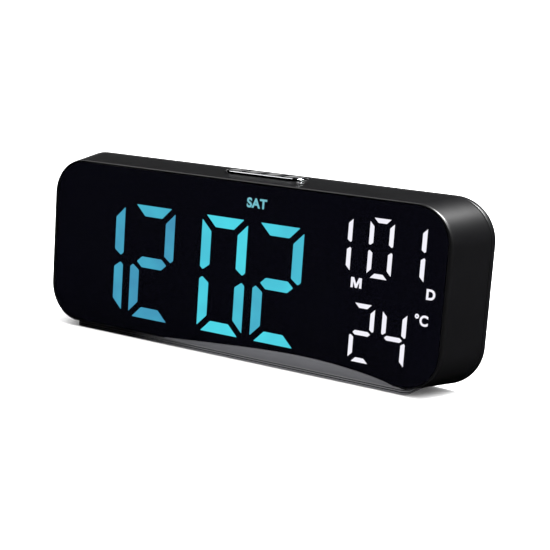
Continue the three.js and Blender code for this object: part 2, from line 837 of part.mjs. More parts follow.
function baseFoot() {
  const half = footLength / 2;
  const outline = roundedOutline(-half, half, at(footFront), at(footEnd), footCorner);
  const plate = solid(layer(outline, padProud, footTop));
  const grooves = [1, 2].map((place) => {
    const low = padProud + (footThickness * place) / 3 - footGroove / 2;
    const back = footFront + footGroove;
    return solid(block(-half - slack, half + slack, footFront - slack, back, low, low + footGroove));
  });
  const recesses = padPlaces.map(([x, depth]) => (
    solid(post(x, depth, padRadius + fitGap, -slack, padThickness + fitGap / 2, 24))
  ));
  const headSeats = [-1, 1].map((side) => (
    solid(post(side * footBossX, footBossPlace, screwHeadRadius + 0.3, -slack, footScrewSeat))
  ));
  const holes = [-1, 1].map((side) => (
    solid(post(side * footBossX, footBossPlace, screwHole, 0, footTop + slack, 10))
  ));
  return cut(plate, ...grooves, ...recesses, ...headSeats, ...holes);
}

// ---- boards and their parts ----
function displayBoard() {
  const half = sectionAt(boardFront, wall).half - boardSideMargin;
  const outline = roundedOutline(
    -half,
    half,
    undersideZ + wall + boardEndMargin,
    bodyTop - wall - boardEndMargin,
    boardCorner,
  );
  const board = solid(slab(outline, boardFront, boardBack, 5));
  const holes = boardBosses.map(([x, z]) => (
    solid(roundBar(x, z, screwHole, boardFront - slack, boardBack + slack, 10))
  ));
  return cut(board, ...holes);
}

const chipSeat = boardBack + seatGap;

function chip(x, z, width, height, thickness) {
  const low = centreZ + z - height / 2;
  return block(x - width / 2, x + width / 2, chipSeat, chipSeat + thickness, low, low + height);
}

function powerBoard() {
  return block(
    socketX - powerBoardHalf,
    socketX + powerBoardHalf,
    powerBoardFront + 0.5,
    coverInner - 0.6,
    powerBoardLow,
    powerBoardLow + boardThickness,
  );
}

function usbSocket() {
  const shape = (grow) => (
    pillOutline(socketWidth + 2 * grow, socketHeight + 2 * grow, socketX, socketZ)
  );
  const back = bodyDepth - socketSetback;
  const front = back - socketLength;
  const shell = solid(slab(shape(0), front, back, 5));
  const mouth = solid(slab(shape(-socketWall), front + slack, back + slack, 5));
  const tongue = solid(block(
    socketX - tongueHalf,
    socketX + tongueHalf,
    front + 0.5,
    back - 0.8,
    socketZ - tongueThickness / 2,
    socketZ + tongueThickness / 2,
  ));
  return joined(cut(shell, mouth), tongue);
}

function coinContact() {
  const front = bayFloor + seatGap;
  const back = front + contactThickness - 2 * seatGap;
  const half = contactLength / 2;
  const low = coinZ - contactWidth / 2;
  return block(coinX - half, coinX + half, front, back, low, low + contactWidth);
}

// ---- materials ----
const finish = (color, roughness, metalness) => (
  new THREE.MeshStandardMaterial({ color, roughness, metalness })
);
const satinBlack = finish(0x222224, 0.45, 0);
const smokedAcrylic = finish(0x050506, 0.05, 0);
const milkyFilm = finish(0x8a8f94, 0.6, 0);
const whiteNylon = finish(0xe8e8e4, 0.5, 0);
const greenBoard = finish(0x1d5c3a, 0.5, 0);
const chipBlack = finish(0x1a1a1c, 0.6, 0);
const chrome = finish(0xd9dadd, 0.12, 1);
const glossBlack = finish(0x0c0c0e, 0.12, 0);
const steel = finish(0xa8abb0, 0.3, 1);
const brass = finish(0xc8a860, 0.35, 1);
const rubber = finish(0x1c1c1c, 0.9, 0);
const ribbon = finish(0xb9bcc2, 0.6, 0);

// ---- assembly ----
const clock = new THREE.Group();

function add(name, shape, material) {
  const mesh = new THREE.Mesh(shape.isBufferGeometry ? shape : geometryOf(shape), material);
  mesh.name = name;
  clock.add(mesh);
}

const lensBack = lensSetback + lensThickness;
const filmFront = lensBack + filmGap;
add('front_housing', frontHousing(), satinBlack);
add('display_lens', slab(lensOutline(0), lensSetback, lensBack, 12), smokedAcrylic);
add('diffuser_film', slab(lensOutline(-0.4), filmFront, filmFront + filmThickness, 6), milkyFilm);
add('time_reflector', timeReflector(), whiteNylon);
add('weekday_reflector', dayReflector(), whiteNylon);
add('date_temperature_reflector', dataReflector(), whiteNylon);
add('display_board', displayBoard(), greenBoard);
add('controller_chip', chip(-18, 2, 10, 10, 1.6), chipBlack);
add('led_driver_left', chip(-42, -12, 10.3, 7.5, 2.2), chipBlack);
add('led_driver_right', chip(62, -4, 10.3, 7.5, 2.2), chipBlack);
add('clock_crystal', roundBar(-6, centreZ - 10, 1.55, chipSeat, chipSeat + 3.2, 12), steel);
add('temperature_sensor', roundBar(ventX, ventZ, 1.4, chipSeat, chipSeat + 6, 12), chipBlack);
add('buzzer', roundBar(buzzerX, buzzerZ, buzzerRadius, chipSeat, chipSeat + buzzerHeight, 24), chipBlack);
boardBosses.forEach(([x, z], i) => {
  add(`board_screw_${i + 1}`, rearFacingScrew(x, boardBack + seatGap, z, boardScrewLength), steel);
});

add('key_trim', keyTrim(), chrome);
keyNames.forEach((name, i) => {
  add(`${name}_keycap`, keycap(i), glossBlack);
  add(`${name}_switch_plunger`, switchPlunger(i), glossBlack);
  add(`${name}_switch_body`, switchBody(i), steel);
});
add('key_board', buttonBoard(), greenBoard);
[-1, 1].forEach((side, i) => {
  const x = padCentreX + side * hangerX;
  const seat = buttonBoardTop - boardThickness - seatGap;
  const shape = downFacingScrew(x, switchDepthPlace, seat, boardScrewLength);
  add(`key_board_screw_${i + 1}`, shape, steel);
});
add('key_cable', keyCable(), ribbon);

add('rear_cover', rearCover(), satinBlack);
coverBosses.forEach(([x, z], i) => {
  const seat = bodyDepth - headSeatDepth + seatGap;
  add(`rear_cover_screw_${i + 1}`, rearFacingScrew(x, seat, z, coverScrewLength), steel);
});
add('battery_cap', batteryCap(), satinBlack);
const coinFront = bayFloor + contactThickness + 2 * seatGap;
const coinBack = coinFront + coinThickness;
add('coin_cell', roundBar(coinX, coinZ, coinRadius, coinFront, coinBack, 28), steel);
add('coin_contact', coinContact(), brass);
add('power_board', powerBoard(), greenBoard);
add('usb_socket', usbSocket(), steel);

add('base_foot', baseFoot(), satinBlack);
padPlaces.forEach(([x, depth], i) => {
  add(`foot_pad_${i + 1}`, post(x, depth, padRadius, 0, padThickness, 24), rubber);
});
[-1, 1].forEach((side, i) => {
  const seat = footScrewSeat - seatGap;
  const shape = downFacingScrew(side * footBossX, footBossPlace, seat, footScrewLength);
  add(`foot_screw_${i + 1}`, shape, steel);
});

export default clock;
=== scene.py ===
import json
import math

import bmesh
import bpy
from mathutils import Euler, Matrix, Vector


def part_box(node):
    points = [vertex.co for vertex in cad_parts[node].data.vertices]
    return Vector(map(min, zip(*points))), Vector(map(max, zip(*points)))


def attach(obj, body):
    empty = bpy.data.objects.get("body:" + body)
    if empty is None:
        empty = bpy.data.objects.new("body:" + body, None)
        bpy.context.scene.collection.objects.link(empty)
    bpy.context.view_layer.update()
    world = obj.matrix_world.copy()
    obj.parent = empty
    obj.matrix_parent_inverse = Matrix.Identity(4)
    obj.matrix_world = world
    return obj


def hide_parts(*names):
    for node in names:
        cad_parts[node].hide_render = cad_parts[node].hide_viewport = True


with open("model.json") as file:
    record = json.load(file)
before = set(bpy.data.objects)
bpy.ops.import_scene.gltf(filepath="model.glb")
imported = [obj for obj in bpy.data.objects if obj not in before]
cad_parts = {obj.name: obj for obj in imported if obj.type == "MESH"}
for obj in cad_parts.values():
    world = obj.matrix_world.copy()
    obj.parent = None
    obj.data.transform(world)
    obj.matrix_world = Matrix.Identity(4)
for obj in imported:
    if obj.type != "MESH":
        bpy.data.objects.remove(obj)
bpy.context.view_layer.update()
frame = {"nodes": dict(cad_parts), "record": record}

mm = 0.001
scene = bpy.context.scene
record = frame["record"]
slotOf = {row["node"]: row["material_slot"] for row in record["subparts"]}


# places taken from the frame
lensLow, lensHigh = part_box("display_lens")
housingLow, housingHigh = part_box("front_housing")
coverLow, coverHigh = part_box("rear_cover")
footLow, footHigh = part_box("base_foot")
trimLow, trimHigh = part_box("key_trim")
capLow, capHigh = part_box("battery_cap")
socketLow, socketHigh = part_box("usb_socket")
frontY = housingLow.y
backY = coverHigh.y
depthAll = backY - frontY
lensMid = (lensLow + lensHigh) / 2


# small helpers
def say(text):
    print("clock:", text)


def namesFrom(start):
    return sorted(name for name in frame["nodes"] if name.startswith(start))


def addObject(name, data):
    piece = bpy.data.objects.new(name, data)
    scene.collection.objects.link(piece)
    return piece


def setFinish(piece, material):
    piece.data.materials.clear()
    piece.data.materials.append(material)


def hexColour(text):
    # sRGB hex to the linear colour that a shader takes
    parts = [int(text[i:i + 2], 16) / 255 for i in (1, 3, 5)]
    linear = [c / 12.92 if c <= 0.04045 else ((c + 0.055) / 1.055) ** 2.4 for c in parts]
    return (*linear, 1.0)


def addNode(tree, kind, settings=None, links=None):
    # settings: attributes by name, socket values by socket name or number
    # links: input socket to the socket that feeds it
    node = tree.nodes.new(kind)
    for key, value in (settings or {}).items():
        if isinstance(key, str) and hasattr(node, key):
            setattr(node, key, value)
        else:
            node.inputs[key].default_value = value
    for key, source in (links or {}).items():
        tree.links.new(source, node.inputs[key])
    return node


def newMaterial(name, settings):
    material = bpy.data.materials.new(name)
    material.use_nodes = True
    tree = material.node_tree
    tree.nodes.clear()
    shader = addNode(tree, "ShaderNodeBsdfPrincipled", settings)
    addNode(tree, "ShaderNodeOutputMaterial", None, {"Surface": shader.outputs[0]})
    return material, tree, shader


def objectNoise(tree, size, detail=2.0, stretch=(1, 1, 1)):
    # noise whose grain is about size metres across
    place = addNode(tree, "ShaderNodeTexCoord")
    links = {"Vector": place.outputs["Object"]}
    turn = addNode(tree, "ShaderNodeMapping", {"Scale": stretch}, links)
    settings = {"Scale": 1 / size, "Detail": detail}
    return addNode(tree, "ShaderNodeTexNoise", settings, {"Vector": turn.outputs[0]}).outputs[0]


def remap(tree, source, low, high, fromLow=0.3, fromHigh=0.7):
    settings = {"From Min": fromLow, "From Max": fromHigh, "To Min": low, "To Max": high}
    return addNode(tree, "ShaderNodeMapRange", settings, {"Value": source}).outputs[0]


def addBump(tree, shader, height, strength, distance):
    settings = {"Strength": strength, "Distance": distance}
    bump = addNode(tree, "ShaderNodeBump", settings, {"Height": height})
    tree.links.new(bump.outputs[0], shader.inputs["Normal"])


def blendColours(tree, share, first, second):
    mix = addNode(tree, "ShaderNodeMix", {"data_type": "RGBA"})
    mix.inputs[6].default_value = hexColour(first)
    mix.inputs[7].default_value = hexColour(second)
    tree.links.new(share, mix.inputs[0])
    return mix.outputs[2]


def varyColour(tree, shader, share, first, second):
    tree.links.new(blendColours(tree, share, first, second), shader.inputs["Base Color"])


def varyRoughness(tree, shader, share, low, high):
    tree.links.new(remap(tree, share, low, high), shader.inputs["Roughness"])


def addGrain(tree, shader):
    # the fine even grain that a spark-eroded tool leaves on ABS, which breaks up highlights;
    # the real grain is near 0.08 mm and is drawn at about 0.4 mm so that it shows
    addBump(tree, shader, objectNoise(tree, 0.4 * mm, 3.0), 0.35, 0.02 * mm)


# materials
def mouldedAbs(name, base, light, roughness, specular):
    # satin ABS: dull, even in tone, with soft broad highlights
    material, tree, shader = newMaterial(name, {"IOR": 1.53, "Specular IOR Level": specular})
    wide = objectNoise(tree, 14 * mm, 2.0)
    varyColour(tree, shader, wide, base, light)
    varyRoughness(tree, shader, wide, roughness - 0.015, roughness + 0.015)
    addGrain(tree, shader)
    return material


def paintedReflectionAbs(name, dark, light, start, end, roughness):
    # satin black ABS with a painted reflection of a pale desk: its colour goes from black at one
    # end to graphite grey at the other along X
    settings = {"IOR": 1.53, "Specular IOR Level": 0.3, "Roughness": roughness}
    material, tree, shader = newMaterial(name, settings)
    place = addNode(tree, "ShaderNodeTexCoord")
    along = addNode(tree, "ShaderNodeSeparateXYZ", None, {0: place.outputs["Object"]})
    varyColour(tree, shader, remap(tree, along.outputs[0], 0.0, 1.0, start, end), dark, light)
    addGrain(tree, shader)
    return material


def smokedAcrylic():
    # cast acrylic, dyed almost black and polished: reads as black glass with a clean soft mirror
    settings = {"IOR": 1.49, "Specular IOR Level": 0.5, "Base Color": hexColour("#030306")}
    material, tree, shader = newMaterial("smokedAcrylicPolished", settings)
    varyRoughness(tree, shader, objectNoise(tree, 22 * mm, 3.0), 0.05, 0.11)
    return material


def litMask(name, low, high):
    # a cut-out in the black mask, lit from behind through milky film:
    # even, with a slight lift from each lamp
    settings = {"Base Color": hexColour("#050506"), "Roughness": 0.1, "IOR": 1.49}
    settings |= {"Specular IOR Level": 0.5, "Emission Strength": 1.0}
    material, tree, shader = newMaterial(name, settings)
    share = addNode(tree, "ShaderNodeAttribute", {"attribute_name": "glow"})
    lift = remap(tree, objectNoise(tree, 9 * mm, 1.0), -0.1, 0.1)
    links = {0: share.outputs["Fac"], 1: lift}
    total = addNode(tree, "ShaderNodeMath", {"operation": "ADD"}, links)
    colour = blendColours(tree, total.outputs[0], low, high)
    tree.links.new(colour, shader.inputs["Emission Color"])
    return material


def chromedPlastic():
    # bright chrome plating on ABS: mirror-like, with the faint orange peel of the moulding below
    settings = {"Metallic": 1.0, "Base Color": hexColour("#D6D7DA")}
    material, tree, shader = newMaterial("chromedAbsBright", settings)
    peel = objectNoise(tree, 2.2 * mm, 2.0)
    varyRoughness(tree, shader, peel, 0.05, 0.13)
    addBump(tree, shader, peel, 0.12, 0.03 * mm)
    return material


def glossKeyPlastic():
    # polished black ABS: deep gloss with light finger haze
    settings = {"IOR": 1.53, "Base Color": hexColour("#0A0A0C")}
    settings |= {"Coat Weight": 0.5, "Coat Roughness": 0.04}
    material, tree, shader = newMaterial("glossBlackAbs", settings)
    varyRoughness(tree, shader, objectNoise(tree, 3 * mm, 4.0), 0.08, 0.24)
    return material


def mouldedRubber():
    # black rubber: no gloss, dusty where it is handled
    settings = {"IOR": 1.52, "Specular IOR Level": 0.25}
    material, tree, shader = newMaterial("padRubberMatt", settings)
    dust = objectNoise(tree, 1.2 * mm, 5.0)
    varyColour(tree, shader, dust, "#161616", "#242322")
    varyRoughness(tree, shader, dust, 0.8, 0.95)
    addBump(tree, shader, dust, 0.3, 0.05 * mm)
    return material


def platedSteel(name, base, roughness):
    # turned or pressed steel with thin plating: metallic, with fine tool lines round it
    material, tree, shader = newMaterial(name, {"Metallic": 1.0, "Base Color": hexColour(base)})
    lines = objectNoise(tree, 0.5 * mm, 2.0, (1, 0.1, 1))
    varyRoughness(tree, shader, lines, roughness - 0.06, roughness + 0.1)
    addBump(tree, shader, lines, 0.1, 0.02 * mm)
    return material


def solderMask():
    # printed board under green lacquer: copper tracks show as thin lighter lines on a 1.6 mm grid
    material, tree, shader = newMaterial("solderMaskGreen", {"IOR": 1.5, "Roughness": 0.35})
    place = addNode(tree, "ShaderNodeTexCoord")
    settings = {
        "Scale": 1 / (1.6 * mm),
        "Mortar Size": 0.012,
        "Color1": hexColour("#123E28"),
        "Color2": hexColour("#15482E"),
        "Mortar": hexColour("#2A7A4C"),
    }
    tracks = addNode(tree, "ShaderNodeTexBrick", settings, {"Vector": place.outputs["Object"]})
    tree.links.new(tracks.outputs["Color"], shader.inputs["Base Color"])
    addBump(tree, shader, tracks.outputs["Fac"], 0.2, 0.03 * mm)
    return material


def plainMoulding(name, base, light, roughness):
    # small moulded or coated part inside the clock: dull, slightly uneven in tone
    material, tree, shader = newMaterial(name, {"IOR": 1.5})
    tone = objectNoise(tree, 1.5 * mm, 3.0)
    varyColour(tree, shader, tone, base, light)
    varyRoughness(tree, shader, tone, roughness - 0.05, roughness + 0.08)
    return material


finishes = {
    "housing": mouldedAbs("satinAbsSparkEroded", "#050506", "#060608", 0.34, 0.5),
    # the sloping lip under the lens: black ABS painted light grey, a painted reflection of the
    # pale desk below
    "chin": mouldedAbs("satinAbsGraphite", "#47474A", "#4E4E52", 0.42, 0.4),
    # the foot: black, painted lighter towards +X, a painted reflection of the pale desk
    "foot": paintedReflectionAbs("satinAbsFoot", "#0B0B0C", "#5D5D60", -48 * mm, -12 * mm, 0.5),
    "lens": smokedAcrylic(),
    "glowCyan": litMask("litMaskCyan", "#4292B6", "#4ED8E8"),
    "glowPale": litMask("litMaskPaleCyan", "#5FAAB8", "#7FC8D4"),
    "glowWhite": litMask("litMaskWhite", "#E6E4F6", "#FFFFFF"),
    "chrome": chromedPlastic(),
    "key": glossKeyPlastic(),
    "rubber": mouldedRubber(),
    "steel": platedSteel("nickelPlatedSteel", "#A9A8A4", 0.28),
    "blackScrew": platedSteel("blackZincScrew", "#2B2B2E", 0.36),
    "brass": platedSteel("platedSpringBrass", "#C9A45A", 0.3),
    "board": solderMask(),
    "chip": plainMoulding("epoxyChipMatt", "#17171A", "#222225", 0.6),
    "nylon": plainMoulding("whiteNylonMoulded", "#D9D9D3", "#ECECE7", 0.45),
    "film": plainMoulding("diffuserFilmMatt", "#8C9196", "#A6AAAE", 0.6),
    "ribbon": plainMoulding("flatCablePvc", "#9B9EA4", "#B4B7BC", 0.5),
}
bySlot = {
    "satin_abs": "housing",
    "smoked_acrylic": "lens",
    "chromed_trim": "chrome",
    "gloss_key": "key",
    "milky_film": "film",
    "white_nylon": "nylon",
    "circuit_board": "board",
    "chip_epoxy": "chip",
    "plated_steel": "steel",
    "spring_brass": "brass",
    "pad_rubber": "rubber",
    "ribbon_pvc": "ribbon",
}
for nodeName, node in frame["nodes"].items():
    setFinish(node, finishes[bySlot[slotOf[nodeName]]])
say("materials made")


# mesh helpers
def meshObject(name, verts, faces=()):
    mesh = bpy.data.meshes.new(name)
    mesh.from_pydata(verts, [], faces)
    return addObject(name, mesh)


def tidyMesh(piece, smoothAngle):
    # welds doubles, turns faces outwards, and shades smooth up to the given angle
    work = bmesh.new()
    work.from_mesh(piece.data)
    bmesh.ops.remove_doubles(work, verts=work.verts, dist=1e-6)
    bmesh.ops.recalc_face_normals(work, faces=work.faces)
    work.to_mesh(piece.data)
    work.free()
    smoothUpTo(piece, smoothAngle)


def smoothUpTo(piece, angle):
    piece.data.shade_smooth()
    piece.data.set_sharp_from_angle(angle=math.radians(angle))


def takeMesh(piece):
    # the modified result becomes the piece's own plain mesh
    graph = bpy.context.evaluated_depsgraph_get()
    made = bpy.data.meshes.new_from_object(piece.evaluated_get(graph))
    if piece.type == "MESH":
        piece.modifiers.clear()
        piece.data = made
        return piece
    name = piece.name
    bpy.data.objects.remove(piece)
    return addObject(name, made)


def joinPieces(name, pieces):
    bpy.ops.object.select_all(action="DESELECT")
    for piece in pieces:
        piece.select_set(True)
    bpy.context.view_layer.objects.active = pieces[0]
    bpy.ops.object.join()
    joined = bpy.context.view_layer.objects.active
    joined.name = name
    return joined


def subtract(piece, cutter):
    step = piece.modifiers.new("cut", "BOOLEAN")
    step.operation = "DIFFERENCE"
    step.solver = "EXACT"
    step.object = cutter
    takeMesh(piece)
    bpy.data.objects.remove(cutter)
    return piece


def ringPiece(name, rings, materials, smoothAngle, closed=False):
    # quads between rings of equal length; the ends are joined to each other or closed with a face
    count = len(rings[0])
    verts = [point for ring in rings for point in ring]
    faces = []
    pairs = len(rings) if closed else len(rings) - 1
    for i in range(pairs):
        here = i * count
        there = (i + 1) % len(rings) * count
        for k in range(count):
            after = (k + 1) % count
            faces.append((here + k, here + after, there + after, there + k))
    if not closed:
        faces.append(tuple(range(count)))
        last = (len(rings) - 1) * count
        faces.append(tuple(last + k for k in range(count)))
    piece = meshObject(name, verts, faces)
    for material in materials:
        piece.data.materials.append(material)
    tidyMesh(piece, smoothAngle)
    return piece


def arcPoints(cx, cy, radius, start, end, count):
    return [
        (
            cx + radius * math.cos(math.radians(start + (end - start) * i / count)),
            cy + radius * math.sin(math.radians(start + (end - start) * i / count)),
        )
        for i in range(count + 1)
    ]


def pillPoints(length, width, cx=0.0, cy=0.0, count=20):
    radius = width / 2
    reach = length / 2 - radius
    right = arcPoints(cx + reach, cy, radius, -90, 90, count)
    return right + arcPoints(cx - reach, cy, radius, 90, 270, count)


def circlePoints(cx, cy, radius, count):
    return arcPoints(cx, cy, radius, 0, 360, count)[:-1]


def boxPoints(cx, cy, halfX, halfY):
    return [(cx + sx * halfX, cy + sy * halfY) for sx, sy in ((-1, -1), (1, -1), (1, 1), (-1, 1))]


def turnedPiece(name, profile, cx, cz, count, material, smoothAngle):
    # a profile of radius and y turned about an axis along Y
    rings = []
    for radius, y in profile:
        reach = max(radius, 1e-5)
        turns = [2 * math.pi * k / count for k in range(count)]
        rings.append([(cx + reach * math.cos(a), y, cz + reach * math.sin(a)) for a in turns])
    return ringPiece(name, rings, [material], smoothAngle)


def roundedPolygon(points, radius, count=3):
    # each corner of a polygon replaced by a short curve
    out = []
    for i, point in enumerate(points):
        here = Vector(point)
        before = Vector(points[i - 1]) - here
        after = Vector(points[(i + 1) % len(points)]) - here
        start = here + before.normalized() * min(radius, before.length * 0.4)
        end = here + after.normalized() * min(radius, after.length * 0.4)
        for k in range(count + 1):
            t = k / count
            out.append(tuple((1 - t) ** 2 * start + 2 * t * (1 - t) * here + t * t * end))
    return out


def plate(name, loops, low, high, bevel, material, facing="Y", bevelSteps=3):
    # a flat plate from outlines, holes included, with rounded edges
    # low and high are where its faces lie along the facing axis
    curve = bpy.data.curves.new(name, "CURVE")
    curve.dimensions = "2D"
    curve.fill_mode = "BOTH"
    curve.extrude = (high - low) / 2 - bevel
    curve.bevel_depth = bevel
    curve.bevel_resolution = bevelSteps
    curve.offset = -bevel
    for loop in loops:
        spline = curve.splines.new("POLY")
        spline.points.add(len(loop) - 1)
        for point, (x, y) in zip(spline.points, loop):
            point.co = (x, y, 0, 1)
        spline.use_cyclic_u = True
    piece = addObject(name, curve)
    bpy.context.view_layer.update()
    piece = takeMesh(piece)
    middle = (low + high) / 2
    if facing == "Y":
        place = Matrix.Translation((0, middle, 0)) @ Matrix.Rotation(math.pi / 2, 4, "X")
    else:
        place = Matrix.Translation((0, 0, middle))
    piece.data.transform(place)
    setFinish(piece, material)
    tidyMesh(piece, 40)
    return piece


def placed(piece, slotName, *nodes, body="clock_body"):
    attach(piece, body)
    if nodes:
        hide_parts(*nodes)
    return piece


# form of the body
shellSizes = {
    "wall": 2.0 * mm,
    "rim": 0.8 * mm,
    "lowerRim": 0.6 * mm,
    "lensCorner": 13.6 * mm,
    "sideFillet": 0.9 * mm,
    "sideFilletDepth": 1.5 * mm,
    "topFillet": 0.5 * mm,
    "topFilletDepth": 0.8 * mm,
    "sideFlare": 7.5 * mm,
    "topRise": 2.2 * mm,
    "underDrop": 1.2 * mm,
    "cornerGrowth": 1.2 * mm,
    "rearRound": 1.3 * mm,
    "edgeRound": 0.3 * mm,
    "lensGap": 0.15 * mm,
    "chinHeight": 4.1 * mm,
    "chinSlope": 1.3 * mm,
    "chinPoints": (-31.0 * mm, 33.3 * mm, 72.3 * mm),
    "riseReach": (21.6 * mm, 17.8 * mm, 0.4),
    "fallReach": (15.3 * mm, 7.9 * mm, 0.55),
    "chinFade": 5.0 * mm,
    "lipRound": 0.12 * mm,
    "lensClearance": 0.4 * mm,
    "ledgeWidth": 3.2 * mm,
    "ledgeThickness": 1.4 * mm,
    "seamGap": 0.2 * mm,
    "cornerSteps": 28,
    "lowerSteps": 150,
}
underside = lensLow.z - shellSizes["lowerRim"]
halfLens = (lensHigh.x - lensLow.x) / 2
footHalf = (footHigh.x - footLow.x) / 2


def quarterRound(share):
    rest = 1 - min(1.0, max(0.0, share))
    return math.sqrt(1 - rest * rest)


def sectionAt(depth, inset=0.0):
    # the outline at a depth behind the front plane: half width, bottom, top, corner radius
    s = shellSizes
    back = depth / depthAll
    sideShare = quarterRound(depth / s["sideFilletDepth"])
    topShare = quarterRound(depth / s["topFilletDepth"])
    tail = (depth - (depthAll - s["rearRound"])) / s["rearRound"]
    drawIn = inset
    if tail > 0:
        drawIn += s["rearRound"] * (1 - math.sqrt(max(0.0, 1 - tail * tail)))
    half = halfLens + s["rim"] + s["sideFillet"] * sideShare + s["sideFlare"] * back - drawIn
    top = lensHigh.z + s["rim"] - s["topFillet"] * (1 - topShare) + s["topRise"] * back - drawIn
    bottom = underside - s["underDrop"] * back + drawIn
    corner = s["lensCorner"] + s["rim"] + s["cornerGrowth"] * (sideShare + back) - drawIn
    return half, bottom, top, corner


def bezier(t, a, b, c, d):
    u = 1 - t
    return u ** 3 * a + 3 * u * u * t * b + 3 * u * t * t * c + t ** 3 * d


def archTable():
    # the arch in the lens's lower edge as points of two curves that meet at its peak
    left, peak, right = shellSizes["chinPoints"]
    high = shellSizes["chinHeight"]
    out, back, lift = shellSizes["riseReach"]
    riseXs = (left, left + out, peak - back, peak)
    riseZs = (0, lift * high, high, high)
    out, back, lift = shellSizes["fallReach"]
    fallXs = (peak, peak + out, right - back, right)
    fallZs = (high, high, lift * high, 0)
    steps = [i / 60 for i in range(61)]
    rise = [(bezier(t, *riseXs), bezier(t, *riseZs)) for t in steps]
    fall = [(bezier(t, *fallXs), bezier(t, *fallZs)) for t in steps]
    return rise + fall[1:]


arch = archTable()


def archHeight(x):
    if x <= arch[0][0] or x >= arch[-1][0]:
        return 0.0
    for (x0, z0), (x1, z1) in zip(arch, arch[1:]):
        if x0 <= x <= x1:
            return z0 + (z1 - z0) * (x - x0) / (x1 - x0)
    return 0.0


def chinDepth(x, z):
    # how far the sloping lip under the lens lies behind the front plane
    s = shellSizes
    top = lensLow.z + s["chinHeight"]
    share = min(1.0, max(0.0, (top - z) / (top - underside)))
    end = min(1.0, max(0.0, (footHalf + 0.4 * mm - abs(x)) / s["chinFade"]))
    return s["chinSlope"] * share * end * end * (3 - 2 * end)


# the lower edge is finely divided over the foot, with a narrow step at each end
steps = shellSizes["lowerSteps"]
stepX = footHalf + 0.15 * mm
lowerXs = [stepX * (2 * i / steps - 1) for i in range(steps + 1)]
lowerXs = [-stepX - 0.1 * mm] + lowerXs + [stepX + 0.1 * mm]


def ringPoints(section):
    # points round a rounded rectangle, anticlockwise from the lower left,
    # each with whether it lies on the lower edge
    half, bottom, top, corner = section
    steps = shellSizes["cornerSteps"]
    reach = half - corner
    lower = [(x, bottom) for x in [-reach] + lowerXs]
    rest = arcPoints(reach, bottom + corner, corner, -90, 0, steps)
    rest += arcPoints(reach, top - corner, corner, 0, 90, steps)
    rest += [(reach - 2 * reach * i / 12, top) for i in range(1, 12)]
    rest += arcPoints(-reach, top - corner, corner, 90, 180, steps)
    rest += arcPoints(-reach, bottom + corner, corner, 180, 270, steps)[:-1]
    return [(x, z, True) for x, z in lower] + [(x, z, False) for x, z in rest]


def bodyRing(depth, inset=0.0, flatUnder=True):
    ring = []
    for x, z, isLower in ringPoints(sectionAt(depth, inset)):
        if flatUnder and isLower and abs(x) <= stepX + 1e-7:
            z = max(z, underside + inset)
        y = frontY + depth
        if isLower and depth < shellSizes["chinSlope"]:
            y = frontY + max(depth, chinDepth(x, z))
        ring.append((x, y, z))
    return ring


def edgeRings(seam, side, angles, flatUnder):
    # rings round the soft edge at the seam; side is -1 before it and 1 behind it
    size = shellSizes["edgeRound"]
    rings = []
    for angle in angles:
        turn = math.radians(angle)
        depth = seam + side * size * (1 - math.sin(turn))
        rings.append(bodyRing(depth, size * (1 - math.cos(turn)), flatUnder))
    return rings


def lensSection(grow):
    corner = shellSizes["lensCorner"] + grow
    return halfLens + grow, lensLow.z - grow, lensHigh.z + grow, corner


def lensRing(depth, grow, follow=True):
    # a ring on the outline of the lens, arch included, which follows the sloping lip if asked
    ring = []
    for x, z, isLower in ringPoints(lensSection(grow)):
        y = frontY + depth
        if isLower:
            z += archHeight(x)
            if follow:
                y = frontY + max(depth, chinDepth(x, z) + depth)
        ring.append((x, y, z))
    return ring


# front housing
def makeHousing():
    s = shellSizes
    gap = s["lensGap"]
    seamDepth = housingHigh.y - frontY
    recess = lensHigh.y - frontY + s["lensClearance"]
    ledge = recess + s["ledgeThickness"]
    lip = s["lipRound"]
    rings = [
        lensRing(recess, gap, follow=False),
        lensRing(lip, gap),
        lensRing(0.3 * lip, gap + 0.3 * lip),
        lensRing(0.0, gap + lip),
    ]
    turns = [quarter / 10 for quarter in range(11)]
    fronts = [s["sideFilletDepth"] * (1 - math.cos(math.pi / 2 * turn)) for turn in turns]
    fronts += [depth * mm for depth in (2.5, 4.0, 6.0, 9.0, 13.0, 17.0, 20.0)]
    rings += [bodyRing(depth) for depth in fronts]
    rings += edgeRings(seamDepth, -1, (0, 30, 60, 90), True)
    rings.append(bodyRing(seamDepth, s["wall"]))
    rings.append(bodyRing(ledge, s["wall"]))
    rings.append(lensRing(ledge, -s["ledgeWidth"], follow=False))
    rings.append(lensRing(recess, -s["ledgeWidth"], follow=False))
    piece = ringPiece("housing", rings, [finishes["housing"], finishes["chin"]], 32, closed=True)
    markChin(piece)
    pad = (trimHigh.x - trimLow.x) - 2 * trimSizes["flange"]
    pill = pillPoints(pad + 2 * gap, trimSizes["width"] + 2 * gap, trimMidX, trimMidY)
    low, high = trimHigh.z - 5 * mm, trimHigh.z + 5 * mm
    subtract(piece, plate("keyHole", [pill], low, high, 0.0, finishes["housing"], "Z"))
    tidyMesh(piece, 32)
    return placed(piece, "satin_abs", "front_housing")


def markChin(piece):
    # faces of the sloping lip take the lighter satin: the same black ABS painted lighter, a
    # painted reflection of the pale desk below
    top = lensLow.z + shellSizes["chinHeight"] + 0.5 * mm
    for face in piece.data.polygons:
        x, y, z = face.center
        forward = face.normal.y < -0.6
        inside = arch[0][0] < x < arch[-1][0]
        if forward and inside and z < top and y < frontY + 1.6 * mm:
            face.material_index = 1


trimSizes = {
    "width": 10.6 * mm,
    "border": 1.1 * mm,
    "bar": 1.0 * mm,
    "keys": 4,
    "keyGap": 0.12 * mm,
    "edge": 0.48 * mm,
    "keyEdge": 0.45 * mm,
    "keyCorner": 0.5 * mm,
    "flange": 2.0 * mm,
}
trimMidX = (trimLow.x + trimHigh.x) / 2
trimMidY = (trimLow.y + trimHigh.y) / 2

makeHousing()
say("housing made")


